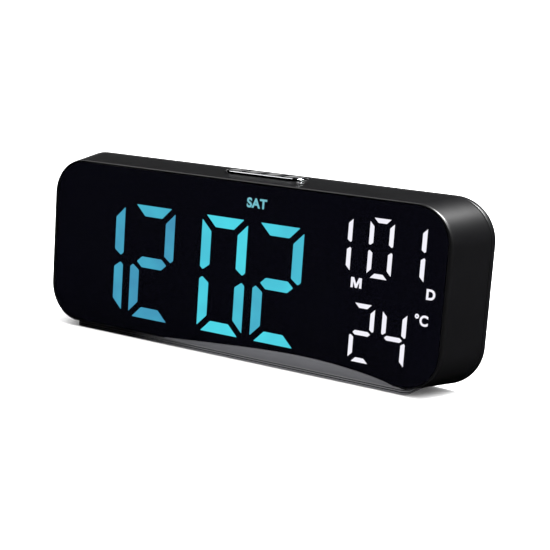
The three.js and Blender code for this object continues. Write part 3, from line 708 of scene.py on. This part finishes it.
# lens
def makeLens():
    # a flat panel whose front edge is softly rounded
    edge = 0.35 * mm
    front = lensLow.y - frontY
    back = lensHigh.y - frontY
    rings = [lensRing(back, 0.0, follow=False)]
    for angle in (0, 22, 45, 68, 90):
        turn = math.radians(angle)
        depth = front + edge * (1 - math.sin(turn))
        rings.append(lensRing(depth, -edge * (1 - math.cos(turn)), follow=False))
    piece = ringPiece("lensPanel", rings, [finishes["lens"]], 50)
    return placed(piece, "smoked_acrylic", "display_lens")


makeLens()
say("lens made")


# lit display
displaySizes = {
    "lift": 0.02 * mm,
    "bigWidth": 21.4 * mm,
    "bigHeight": 47.0 * mm,
    "bigStroke": 4.5 * mm,
    "bigCut": 1.9 * mm,
    "bigMiddle": 1.4 * mm,
    "bigPitch": 25.25 * mm,
    "colonSpan": 34.6 * mm,
    "timeX": -22.0 * mm,
    "timeZ": -4.2 * mm,
    "smallWidth": 9.9 * mm,
    "smallHeight": 22.4 * mm,
    "smallStroke": 1.75 * mm,
    "smallCut": 1.5 * mm,
    "smallMiddle": 0.95 * mm,
    "smallPitch": 13.1 * mm,
    "monthTensX": 51.5 * mm,
    "dateX": 63.5 * mm,
    "dateZ": 16.05 * mm,
    "degreesX": 65.0 * mm,
    "degreesZ": -16.55 * mm,
}
litParts = {"0": "abcdef", "1": "bc", "2": "abdeg", "4": "bcfg"}
glowShares = {
    0: {"b": 0.18, "c": 0.14},
    1: {"a": 0.34, "b": 0.1, "g": 0.16, "e": 0.1, "d": 0.14},
    2: {"a": 0.95, "b": 0.9, "c": 0.55, "d": 0.97, "e": 0.8, "f": 0.75},
    3: {"a": 0.75, "b": 0.5, "g": 0.72, "e": 0.4, "d": 0.9},
}


def segmentPoints(w, h, t, cut, middle):
    # the seven bars of a digit about its centre; w and h are half sizes
    upright = [(w, h - cut), (w - t, h - cut - t), (w - t, middle + 0.5 * t)]
    upright += [(w - 0.3 * t, middle), (w, middle + 0.25 * t)]
    flat = [(-w + cut, h), (-w + cut + t, h - t), (w - cut - t, h - t), (w - cut, h)]
    tip = w - 0.73 * t
    waist = tip - 0.55 * t
    half = t / 2

    def flip(points, sx, sz):
        return [(x * sx, z * sz) for x, z in points]

    return {
        "a": flat,
        "b": upright,
        "c": flip(upright, 1, -1),
        "d": flip(flat, 1, -1),
        "e": flip(upright, -1, -1),
        "f": flip(upright, -1, 1),
        "g": [(-tip, 0), (-waist, -half), (waist, -half), (tip, 0), (waist, half), (-waist, half)],
    }


def markGlow(piece, glow):
    # how far the lit colour lies between its low and its high tone
    share = piece.data.attributes.new("glow", "FLOAT", "POINT")
    share.data.foreach_set("value", [glow] * len(piece.data.vertices))


def litPlate(name, loop, x, z, material, glow=0.5):
    # a lit shape on the lens, about a point given from the lens's middle
    loop = [(lensMid.x + x + px, lensMid.z + z + pz) for px, pz in loop]
    front = lensLow.y - displaySizes["lift"]
    piece = plate(name, [loop], front, front + 2 * displaySizes["lift"], 0.0, material)
    markGlow(piece, glow)
    return piece


def digitPlates(text, x, z, kind, material, shares=None):
    names = ("Height", "Stroke", "Cut", "Middle")
    height, stroke, cut, middle = [displaySizes[kind + name] for name in names]
    bars = segmentPoints(displaySizes[kind + "Width"] / 2, height / 2, stroke, cut, middle)
    made = []
    for letter in litParts[text]:
        loop = roundedPolygon(bars[letter], 0.1 * stroke)
        made.append(litPlate("bar", loop, x, z, material, (shares or {}).get(letter, 0.5)))
    return made


def makeTime():
    d = displaySizes
    half = d["colonSpan"] / 2
    columns = [-half - d["bigPitch"], -half, half, half + d["bigPitch"]]
    made = []
    for i, (text, offset) in enumerate(zip("1202", columns)):
        x = d["timeX"] + offset
        made += digitPlates(text, x, d["timeZ"], "big", finishes["glowCyan"], glowShares[i])
    return placed(joinPieces("timeDigits", made), "milky_film")


def makeDate():
    d = displaySizes
    halfPitch = d["smallPitch"] / 2
    made = []
    for text, x, z in (
        ("1", d["monthTensX"] - d["smallWidth"] / 2, d["dateZ"]),
        ("0", d["dateX"], d["dateZ"]),
        ("1", d["dateX"] + d["smallPitch"], d["dateZ"]),
        ("2", d["degreesX"] - halfPitch, d["degreesZ"]),
        ("4", d["degreesX"] + halfPitch, d["degreesZ"]),
    ):
        made += digitPlates(text, x, z, "small", finishes["glowWhite"])
    return placed(joinPieces("dateAndDegrees", made), "milky_film")


def makeLabel(name, text, x, z, height, narrow, bold, material):
    # letters cut to a height in metres; narrow scales their width and bold thickens their strokes
    curve = bpy.data.curves.new(name, "FONT")
    curve.body = text
    curve.offset = bold
    curve.align_x = "CENTER"
    curve.space_character = 1.05
    piece = addObject(name, curve)
    bpy.context.view_layer.update()
    piece = takeMesh(piece)
    xs = [v.co.x for v in piece.data.vertices]
    ys = [v.co.y for v in piece.data.vertices]
    scale = height / (max(ys) - min(ys))
    middle = Vector(((max(xs) + min(xs)) / 2, (max(ys) + min(ys)) / 2, 0))
    place = (
        Matrix.Translation((lensMid.x + x, lensLow.y - displaySizes["lift"], lensMid.z + z))
        @ Matrix.Rotation(math.pi / 2, 4, "X")
        @ Matrix.Diagonal((narrow * scale, scale, scale, 1))
        @ Matrix.Translation(-middle)
    )
    piece.data.transform(place)
    work = bmesh.new()
    work.from_mesh(piece.data)
    bmesh.ops.remove_doubles(work, verts=work.verts, dist=1e-7)
    fronts = bmesh.ops.extrude_face_region(work, geom=work.faces[:])
    moved = [item for item in fronts["geom"] if isinstance(item, bmesh.types.BMVert)]
    bmesh.ops.translate(work, verts=moved, vec=(0, 2 * displaySizes["lift"], 0))
    bmesh.ops.recalc_face_normals(work, faces=work.faces)
    work.to_mesh(piece.data)
    work.free()
    setFinish(piece, material)
    markGlow(piece, 0.5)
    return placed(piece, "milky_film")


def makeLetterM(x, z, height, width, stroke):
    # a bold M whose middle strokes meet on the base line
    half = width / 2
    top = height / 2
    right = [
        (0.0, top - 0.62 * height),
        (half - 1.3 * stroke, top),
        (half, top),
        (half, -top),
        (half - stroke, -top),
        (half - stroke, top - 0.4 * height),
        (0.42 * stroke, -top),
    ]
    loop = right + [(-px, pz) for px, pz in reversed(right[1:])]
    piece = litPlate("monthLabel", loop, x, z, finishes["glowWhite"])
    return placed(piece, "milky_film")


makeTime()
makeDate()
makeLetterM(54.7 * mm, 2.1 * mm, 3.9 * mm, 4.5 * mm, 0.95 * mm)
# name, text, x and z from the lens's middle and height in mm, narrow, bold, glow
labels = [
    ("dayLabel", "SAT", 9.3, 26.4, 3.9, 1.0, 0.035, "glowPale"),
    ("dateLabel", "D", 84.9, 2.2, 4.0, 0.95, 0.04, "glowWhite"),
    ("degreeLabel", "°C", 82.1, -7.6, 4.3, 0.92, 0.035, "glowWhite"),
]
for name, text, x, z, height, narrow, bold, glow in labels:
    makeLabel(name, text, x * mm, z * mm, height * mm, narrow, bold, finishes[glow])
say("display made")


# key trim and keys
def keyCell(index, gap):
    # outline of one key: a slice of the inner pill, round at the pad's two ends
    t = trimSizes
    length = (trimHigh.x - trimLow.x) - 2 * t["flange"] - 2 * t["border"]
    width = t["width"] - 2 * t["border"]
    pitch = (length + t["bar"]) / t["keys"]
    left = trimMidX - length / 2 + index * pitch + gap
    right = left + pitch - t["bar"] - 2 * gap
    low = trimMidY - width / 2 + gap
    high = trimMidY + width / 2 - gap
    radius = width / 2 - gap
    corner = t["keyCorner"]
    points = []
    if index == t["keys"] - 1:
        points += arcPoints(right - radius, trimMidY, radius, -90, 90, 24)
    else:
        points += arcPoints(right - corner, low + corner, corner, -90, 0, 5)
        points += arcPoints(right - corner, high - corner, corner, 0, 90, 5)
    if index == 0:
        points += arcPoints(left + radius, trimMidY, radius, 90, 270, 24)
    else:
        points += arcPoints(left + corner, high - corner, corner, 90, 180, 5)
        points += arcPoints(left + corner, low + corner, corner, 180, 270, 5)
    return points


def makeTrim():
    t = trimSizes
    length = (trimHigh.x - trimLow.x) - 2 * t["flange"]
    outer = pillPoints(length, t["width"], trimMidX, trimMidY, 32)
    loops = [outer] + [keyCell(i, 0.0) for i in range(t["keys"])]
    low, high = trimLow.z, trimHigh.z
    piece = plate("keyTrim", loops, low, high, t["edge"], finishes["chrome"], "Z", 4)
    return placed(piece, "chromed_trim", "key_trim")


def makeKey(index, name):
    low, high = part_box(name + "_keycap")
    loop = keyCell(index, trimSizes["keyGap"])
    edge = trimSizes["keyEdge"]
    piece = plate(name + "Key", [loop], low.z, high.z, edge, finishes["key"], "Z", 4)
    return placed(piece, "gloss_key", name + "_keycap", body=name + "_key")


makeTrim()
for index, name in enumerate(("mode", "up", "down", "snooze")):
    makeKey(index, name)
say("keys made")


# geometry nodes
def newTree(name, inputs):
    # returns the tree, the outputs of its input node by name, and the socket of the finished mesh
    tree = bpy.data.node_groups.new(name, "GeometryNodeTree")
    sides = tree.interface
    sides.new_socket("Geometry", in_out="INPUT", socket_type="NodeSocketGeometry")
    for label, kind, value in inputs:
        item = sides.new_socket(label, in_out="INPUT", socket_type="NodeSocket" + kind)
        if value is not None:
            item.default_value = value
    sides.new_socket("Geometry", in_out="OUTPUT", socket_type="NodeSocketGeometry")
    given = addNode(tree, "NodeGroupInput").outputs
    return tree, given, addNode(tree, "NodeGroupOutput").inputs[0]


def addStep(tree, kind, links, settings=None):
    # a geometry node; gives its first output
    return addNode(tree, "GeometryNode" + kind, settings, links).outputs[0]


def joinInputs(tree, sources):
    joined = addNode(tree, "GeometryNodeJoinGeometry")
    for source in sources:
        tree.links.new(source, joined.inputs[0])
    return joined.outputs[0]


def layDown(tree, source):
    # turns a shape that faces up so that it faces the rear
    return addStep(tree, "Transform", {"Geometry": source}, {"Rotation": (math.pi / 2, 0, 0)})


def timesNumber(tree, source, factor):
    settings = {"operation": "MULTIPLY", 1: factor}
    return addNode(tree, "ShaderNodeMath", settings, {0: source}).outputs[0]


def paintAll(tree, given, out, source):
    links = {"Geometry": source, "Material": given["Material"]}
    tree.links.new(addStep(tree, "SetMaterial", links), out)


def finishCut(tree, given, out, cutters):
    # takes the cutters away from the given mesh
    real = addStep(tree, "RealizeInstances", {0: cutters})
    cut = addStep(
        tree,
        "MeshBoolean",
        {"Mesh 1": given["Geometry"], "Mesh 2": real},
        {"operation": "DIFFERENCE", "solver": "EXACT"},
    )
    paintAll(tree, given, out, addStep(tree, "RealizeInstances", {0: cut}))


def applyTree(piece, tree, values):
    step = piece.modifiers.new(tree.name, "NODES")
    step.node_group = tree
    items = [item for item in tree.interface.items_tree if item.in_out == "INPUT"]
    sockets = {item.name: item.identifier for item in items}
    for label, value in values.items():
        step[sockets[label]] = value
    bpy.context.view_layer.update()
    return takeMesh(piece)


def copiesTree():
    # puts a copy of one small part on every point
    inputs = [("Part", "Object", None), ("Scale", "Float", 1.0), ("Material", "Material", None)]
    tree, given, out = newTree("copiesOnPoints", inputs)
    info = addNode(tree, "GeometryNodeObjectInfo", None, {"Object": given["Part"]})
    links = {"Instance": info.outputs["Geometry"], "Scale": given["Scale"]}
    copies = addStep(tree, "InstanceOnPoints", {"Points": given["Geometry"]} | links)
    paintAll(tree, given, out, addStep(tree, "RealizeInstances", {0: copies}))
    return tree


def ringCopies(tree, cutter, centre, count, radius):
    # copies of a cutter on a ring round a centre
    circle = addStep(tree, "MeshCircle", {"Radius": radius}, {"Vertices": count})
    links = {"Geometry": circle, "Translation": centre}
    turned = addStep(tree, "Transform", links, {"Rotation": (math.pi / 2, 0, 0)})
    return addStep(tree, "InstanceOnPoints", {"Points": turned, "Instance": cutter})


def grilleTree():
    # a round grille of small holes: one in the middle and two rings
    inputs = [
        ("Hole Radius", "Float", 0.9 * mm),
        ("Ring Pitch", "Float", 3.2 * mm),
        ("Cut Depth", "Float", 8 * mm),
        ("Centre", "Vector", None),
        ("Material", "Material", None),
    ]
    tree, given, out = newTree("roundGrille", inputs)
    links = {"Radius": given["Hole Radius"], "Depth": given["Cut Depth"]}
    laid = layDown(tree, addStep(tree, "MeshCylinder", links, {"Vertices": 20}))
    pitch = given["Ring Pitch"]
    rings = [
        ringCopies(tree, laid, given["Centre"], count, radius)
        for count, radius in ((6, pitch), (12, timesNumber(tree, pitch, 2.0)))
    ]
    around = joinInputs(tree, rings)
    middle = addStep(tree, "Transform", {"Geometry": laid, "Translation": given["Centre"]})
    finishCut(tree, given, out, joinInputs(tree, [around, middle]))
    return tree


def slotTree():
    # a ladder of round-ended slots
    inputs = [
        ("Slot Length", "Float", 22 * mm),
        ("Slot Width", "Float", 1.6 * mm),
        ("Pitch", "Float", 4 * mm),
        ("Count", "Int", 6),
        ("Cut Depth", "Float", 8 * mm),
        ("Start", "Vector", None),
        ("Material", "Material", None),
    ]
    tree, given, out = newTree("ventSlots", inputs)
    links = {"Width": given["Slot Length"], "Height": given["Slot Width"]}
    box = addStep(tree, "CurvePrimitiveQuadrilateral", links)
    links = {"Curve": box, "Radius": timesNumber(tree, given["Slot Width"], 0.48)}
    rounded = addStep(tree, "FilletCurve", links, {"mode": "POLY", "Count": 6})
    face = addStep(tree, "FillCurve", {"Curve": rounded}, {"mode": "NGONS"})
    links = {"Mesh": face, "Offset Scale": given["Cut Depth"]}
    thick = addStep(tree, "ExtrudeMesh", links, {"Individual": False})
    closed = joinInputs(tree, [thick, addStep(tree, "FlipFaces", {"Mesh": face})])
    laid = layDown(tree, addStep(tree, "MergeByDistance", {0: closed}, {"Distance": 1e-6}))
    offset = addNode(tree, "ShaderNodeCombineXYZ", None, {"Z": given["Pitch"]}).outputs[0]
    links = {"Count": given["Count"], "Start Location": given["Start"], "Offset": offset}
    line = addStep(tree, "MeshLine", links)
    finishCut(
        tree, given, out, addStep(tree, "InstanceOnPoints", {"Points": line, "Instance": laid})
    )
    return tree


# rear cover
coverSizes = {
    "screwSeat": 2.3 * mm,
    "seatDepth": 1.5 * mm,
    "holeRadius": 0.9 * mm,
    "holePitch": 3.2 * mm,
    "soundX": -58 * mm,
    "soundZ": 42 * mm,
    "slotLength": 22 * mm,
    "slotWidth": 1.6 * mm,
    "slotPitch": 4 * mm,
    "slots": 6,
    "slotX": 66 * mm,
    "slotZ": 50 * mm,
    "socketGap": 0.3 * mm,
    "capGap": 0.15 * mm,
    "capRadius": 12 * mm,
    "holeDepth": 4 * mm,
    "tabReach": 1.6 * mm,
    "notchWidth": 6.8 * mm,
    "notchTurns": (45, 225),
    "bayDepth": 8.0 * mm,
    "bayTop": 1.95 * mm,
    "bayWall": 1.2 * mm,
}
capMid = (capLow + capHigh) / 2
socketMid = (socketLow + socketHigh) / 2
screwNodes = namesFrom("rear_cover_screw")
screwMids = [sum(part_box(n), Vector()) / 2 for n in screwNodes]


def makeCover():
    s = shellSizes
    c = coverSizes
    seam = housingHigh.y - frontY + s["seamGap"]
    roundStart = depthAll - s["rearRound"]
    shares = (0, 0.15, 0.3, 0.45, 0.6, 0.75, 0.87, 0.96, 1.0)
    rings = [bodyRing(depth, s["wall"], False) for depth in (depthAll - s["wall"], seam)]
    rings += edgeRings(seam, 1, (90, 60, 30, 0), False)
    rings.append(bodyRing((seam + roundStart) / 2, 0.0, False))
    rings += [bodyRing(roundStart + share * s["rearRound"], 0.0, False) for share in shares]
    piece = ringPiece("rearCover", rings, [finishes["housing"]], 32)
    socketWidth = socketHigh.x - socketLow.x + 2 * c["socketGap"]
    socketTall = socketHigh.z - socketLow.z + 2 * c["socketGap"]
    cuts = [(circlePoints(m.x, m.z, c["screwSeat"], 40), c["seatDepth"]) for m in screwMids]
    cuts.append((pillPoints(socketWidth, socketTall, socketMid.x, socketMid.z), c["holeDepth"]))
    capHole = circlePoints(capMid.x, capMid.z, c["capRadius"] + c["capGap"], 96)
    cuts.append((capHole, c["holeDepth"]))
    cuts += [(notchPoints(turn), c["holeDepth"]) for turn in c["notchTurns"]]
    for loop, depth in cuts:
        cutter = plate("cutter", [loop], backY - depth, backY + 1 * mm, 0.0, finishes["housing"])
        subtract(piece, cutter)
    grille = {
        "Hole Radius": c["holeRadius"],
        "Ring Pitch": c["holePitch"],
        "Centre": (c["soundX"], backY - 2 * mm, c["soundZ"]),
        "Material": finishes["housing"],
    }
    applyTree(piece, grilleTree(), grille)
    lowest = c["slotZ"] - (c["slots"] - 1) / 2 * c["slotPitch"]
    vents = {
        "Slot Length": c["slotLength"],
        "Slot Width": c["slotWidth"],
        "Pitch": c["slotPitch"],
        "Count": c["slots"],
        "Start": (c["slotX"], backY + 2 * mm, lowest),
        "Material": finishes["housing"],
    }
    applyTree(piece, slotTree(), vents)
    tidyMesh(piece, 32)
    piece = joinPieces("rearCover", [piece, makeBay()])
    return placed(piece, "satin_abs", "rear_cover")


def notchPoints(turn):
    # a wedge for one of the cap's tabs, turned about the cap's axis
    reach = coverSizes["capRadius"] + coverSizes["tabReach"]
    half = coverSizes["notchWidth"] / 2
    swing = math.degrees(math.asin(half / reach))
    loop = [(0.0, -half)] + arcPoints(0, 0, reach, -swing, swing, 8) + [(0.0, half)]
    cos = math.cos(math.radians(turn))
    sin = math.sin(math.radians(turn))
    return [(capMid.x + x * cos - z * sin, capMid.z + x * sin + z * cos) for x, z in loop]


def makeBay():
    # the cup behind the battery cap
    c = coverSizes
    inner = c["capRadius"] + c["tabReach"]
    outer = inner + c["bayWall"]
    front = backY - c["bayDepth"]
    floor = front + c["bayWall"]
    top = backY - c["bayTop"]
    profile = [(0.0, front), (outer, front), (outer, top)]
    profile += [(inner, top), (inner, floor), (0.0, floor)]
    return turnedPiece("coinBay", profile, capMid.x, capMid.z, 64, finishes["housing"], 32)


makeCover()
say("rear cover made")


# battery cap
capSizes = {
    "slotLength": 12 * mm,
    "slotWidth": 1.8 * mm,
    "topThickness": 0.7 * mm,
    "tabHalf": 3 * mm,
    "tabReach": 1.3 * mm,
    "tabThickness": 0.8 * mm,
}


def makeCap():
    c = capSizes
    finish = finishes["housing"]
    x, z = capMid.x, capMid.z
    radius = coverSizes["capRadius"]
    circle = circlePoints(x, z, radius, 96)
    slot = pillPoints(c["slotLength"], c["slotWidth"], x, z, 8)
    split = capHigh.y - c["topThickness"]
    top = plate("capTop", [circle, slot], split - 0.05 * mm, capHigh.y, 0.2 * mm, finish)
    base = plate("capBase", [circle], capLow.y, split, 0.15 * mm, finish)
    reach = radius + c["tabReach"]
    swing = math.degrees(math.asin(c["tabHalf"] / reach))
    tabs = arcPoints(x, z, reach, -swing, swing, 8)
    tabs += arcPoints(x, z, reach, 180 - swing, 180 + swing, 8)
    tab = plate("capTabs", [tabs], capLow.y, capLow.y + c["tabThickness"], 0.1 * mm, finish)
    piece = joinPieces("coinCap", [base, top, tab])
    return placed(piece, "satin_abs", "battery_cap", body="battery_cap")


makeCap()


# socket
socketSizes = {
    "wall": 0.35 * mm,
    "floor": 0.7 * mm,
    "tongueHalf": 3.3 * mm,
    "tongueThickness": 0.7 * mm,
    "tongueSetback": 0.8 * mm,
}


def makeSocket():
    # a steel shell with a plastic floor and tongue, each sunk 0.1 mm or more into the next
    k = socketSizes
    x, z = socketMid.x, socketMid.z
    width = socketHigh.x - socketLow.x
    tall = socketHigh.z - socketLow.z
    start, end = socketLow.y, socketHigh.y
    outer = pillPoints(width, tall, x, z, 16)
    inner = pillPoints(width - 2 * k["wall"], tall - 2 * k["wall"], x, z, 16)
    tongue = boxPoints(x, z, k["tongueHalf"], k["tongueThickness"] / 2)
    tip = end - k["tongueSetback"]
    chip = finishes["chip"]
    pieces = [
        plate("socketShell", [outer, inner], start + 0.6 * mm, end, 0.1 * mm, finishes["steel"]),
        plate("socketFloor", [outer], start, start + k["floor"], 0.05 * mm, chip),
        plate("socketTongue", [tongue], start + 0.5 * mm, tip, 0.08 * mm, chip),
    ]
    return placed(joinPieces("usbSocket", pieces), "plated_steel", "usb_socket")


makeSocket()
say("cap and socket made")


# screws and pads
screwSizes = {
    "headRadius": 1.9 * mm,
    "headHeight": 1.1 * mm,
    "recess": 2.2 * mm,
    "recessWidth": 0.55 * mm,
    "seatBury": 0.05 * mm,
}


def makeScrewHead():
    # a pan head with a cross recess, its axis along +Y and its seat at the origin
    s = screwSizes
    radius = s["headRadius"]
    tall = s["headHeight"]
    steel = finishes["blackScrew"]
    profile = [(0.0, 0.0), (radius, 0.0)]
    for i in range(7):
        a = math.radians(15 * i)
        side = radius - 0.55 * tall * (1 - math.cos(a))
        profile.append((side, 0.35 * tall + 0.5 * tall * math.sin(a)))
    profile += [(0.5 * radius, tall), (0.0, tall)]
    head = turnedPiece("screwHead", profile, 0.0, 0.0, 40, steel, 40)
    for halfX, halfZ in (
        (s["recess"] / 2, s["recessWidth"] / 2),
        (s["recessWidth"] / 2, s["recess"] / 2),
    ):
        loop = boxPoints(0.0, 0.0, halfX, halfZ)
        subtract(head, plate("recess", [loop], 0.4 * tall, 2 * tall, 0.0, steel))
    tidyMesh(head, 40)
    return head


def makeCopies(name, points, part, material, slotName, nodes):
    # one piece made of a copy of a part at each point
    piece = meshObject(name, points)
    applyTree(piece, copies, {"Part": part, "Scale": 1.0, "Material": material})
    bpy.data.objects.remove(part)
    smoothUpTo(piece, 40)
    return placed(piece, slotName, *nodes)


copies = copiesTree()
seatY = backY - coverSizes["seatDepth"] + screwSizes["seatBury"]
seats = [(m.x, seatY, m.z) for m in screwMids]
screwFinish = finishes["blackScrew"]
makeCopies("coverScrews", seats, makeScrewHead(), screwFinish, "plated_steel", screwNodes)

padNodes = namesFrom("foot_pad")
padBoxes = [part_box(n) for n in padNodes]


def makePad():
    low, high = padBoxes[0]
    loop = circlePoints(0, 0, (high.x - low.x) / 2, 48)
    return plate("pad", [loop], 0.0, high.z - low.z, 0.15 * mm, finishes["rubber"], "Z")


padSpots = [((low.x + high.x) / 2, (low.y + high.y) / 2, low.z) for low, high in padBoxes]
makeCopies("footPads", padSpots, makePad(), finishes["rubber"], "pad_rubber", padNodes)
say("screws and pads made")


# foot
footSizes = {
    "corner": 3.0 * mm,
    "ribs": 3,
    "groove": 0.45 * mm,
    "grooveWidth": 0.42 * mm,
    "edge": 0.2 * mm,
}


def makeFoot():
    # a flat strip with two grooves run round its edge
    f = footSizes
    tall = footHigh.z - footLow.z
    midX = (footLow.x + footHigh.x) / 2
    midY = (footLow.y + footHigh.y) / 2
    edge = f["edge"]
    groove = f["groove"]
    half = f["grooveWidth"] / 2
    grooveProfile = [(-1, 0.0), (-0.7, 0.7), (-0.3, 1), (0.3, 1), (0.7, 0.7), (1, 0.0)]
    levels = [(0.0, edge), (0.3 * edge, 0.3 * edge), (edge, 0.0)]
    for k in range(1, f["ribs"]):
        z = tall * k / f["ribs"]
        levels += [(z + up * half, into * groove) for up, into in grooveProfile]
    levels += [(tall - edge, 0.0), (tall - 0.3 * edge, 0.3 * edge), (tall, edge)]
    corner = f["corner"]
    rings = []
    for z, inset in levels:
        reachX = (footHigh.x - footLow.x) / 2 - inset - corner
        reachY = (footHigh.y - footLow.y) / 2 - inset - corner
        ring = []
        for sx, sy, start in ((1, -1, -90), (1, 1, 0), (-1, 1, 90), (-1, -1, 180)):
            cx = midX + sx * reachX
            cy = midY + sy * reachY
            ring += arcPoints(cx, cy, corner, start, start + 90, 8)
        rings.append([(x, y, footLow.z + z) for x, y in ring])
    piece = ringPiece("ribbedFoot", rings, [finishes["foot"], finishes["housing"]], 30)
    # faces in the two grooves take the black housing ABS: painted shade in the grooves
    for face in piece.data.polygons:
        level = (face.center.z - footLow.z) / tall * f["ribs"]
        nearGroove = abs(level - round(level)) * tall / f["ribs"] < 0.5 * f["grooveWidth"]
        if nearGroove and 0 < round(level) < f["ribs"]:
            face.material_index = 1
    return placed(piece, "satin_abs", "base_foot")


makeFoot()
say("foot made")


# studio
studio = {
    "floorSize": 60.0,
    "skyLevel": 1.5,
    "lampReach": 1.2,
    # name: (width, height, radiance of its face, direction from the clock)
    "lamps": {
        "key": (0.42, 0.42, 85.0, (0.45, 0.2, 0.87)),
        "edge": (0.75, 0.75, 3.0, (-0.5, -0.1, 0.86)),
        "side": (0.4, 0.4, 14.0, (0.62, -0.32, 0.72)),
        "back": (2.4, 0.2, 0.5, (-0.5, 0.86, 0.085)),
    },
    "cameraPlace": (256.8 * mm, -419.6 * mm, 119.7 * mm),
    "cameraTurn": (80.03, -3.94, 30.88),
    "lens": 81.14,
}


def makeFloor():
    half = studio["floorSize"] / 2
    corners = [(x, y, 0) for x, y in boxPoints(0, 0, half, half)]
    floor = meshObject("floor", corners, [(0, 1, 2, 3)])
    settings = {"Roughness": 0.9, "Specular IOR Level": 0.0}
    material, tree, shader = newMaterial("paleFloorPaint", settings)
    varyColour(tree, shader, objectNoise(tree, 0.4, 2.0), "#F6F6F6", "#F9F9F9")
    setFinish(floor, material)
    floor.visible_glossy = False  # a dark studio in the reflections keeps the black plastic black


def makeSky():
    world = bpy.data.worlds.new("studioSky")
    scene.world = world
    world.use_nodes = True
    tree = world.node_tree
    tree.nodes.clear()
    settings = {"Color": (1, 1, 1, 1), "Strength": studio["skyLevel"]}
    sky = addNode(tree, "ShaderNodeBackground", settings)
    addNode(tree, "ShaderNodeOutputWorld", None, {"Surface": sky.outputs[0]})
    world.cycles_visibility.glossy = False


def makeLamp(name):
    # a softbox: its power follows from its size and how bright its face is
    width, height, radiance, way = studio["lamps"][name]
    way = Vector(way).normalized()
    light = bpy.data.lights.new(name + "Light", "AREA")
    light.shape = "RECTANGLE"
    light.size = width
    light.size_y = height
    light.energy = radiance * math.pi * width * height
    lamp = addObject(name + "Light", light)
    target = Vector((0, 0, lensMid.z))
    lamp.location = target + way * studio["lampReach"]
    lamp.rotation_euler = (-way).to_track_quat("-Z", "Y").to_euler()
    lamp.visible_camera = False


def makeCamera():
    camera = bpy.data.cameras.new("camera")
    camera.lens = studio["lens"]
    camera.sensor_width = 36.0
    camera.clip_start = 0.01
    camera.clip_end = 100.0
    eye = addObject("camera", camera)
    eye.location = studio["cameraPlace"]
    eye.rotation_euler = Euler([math.radians(a) for a in studio["cameraTurn"]], "XYZ")
    scene.camera = eye
    scene.view_settings.view_transform = "Standard"


makeFloor()
makeSky()
for name in studio["lamps"]:
    makeLamp(name)
makeCamera()
say("studio made")
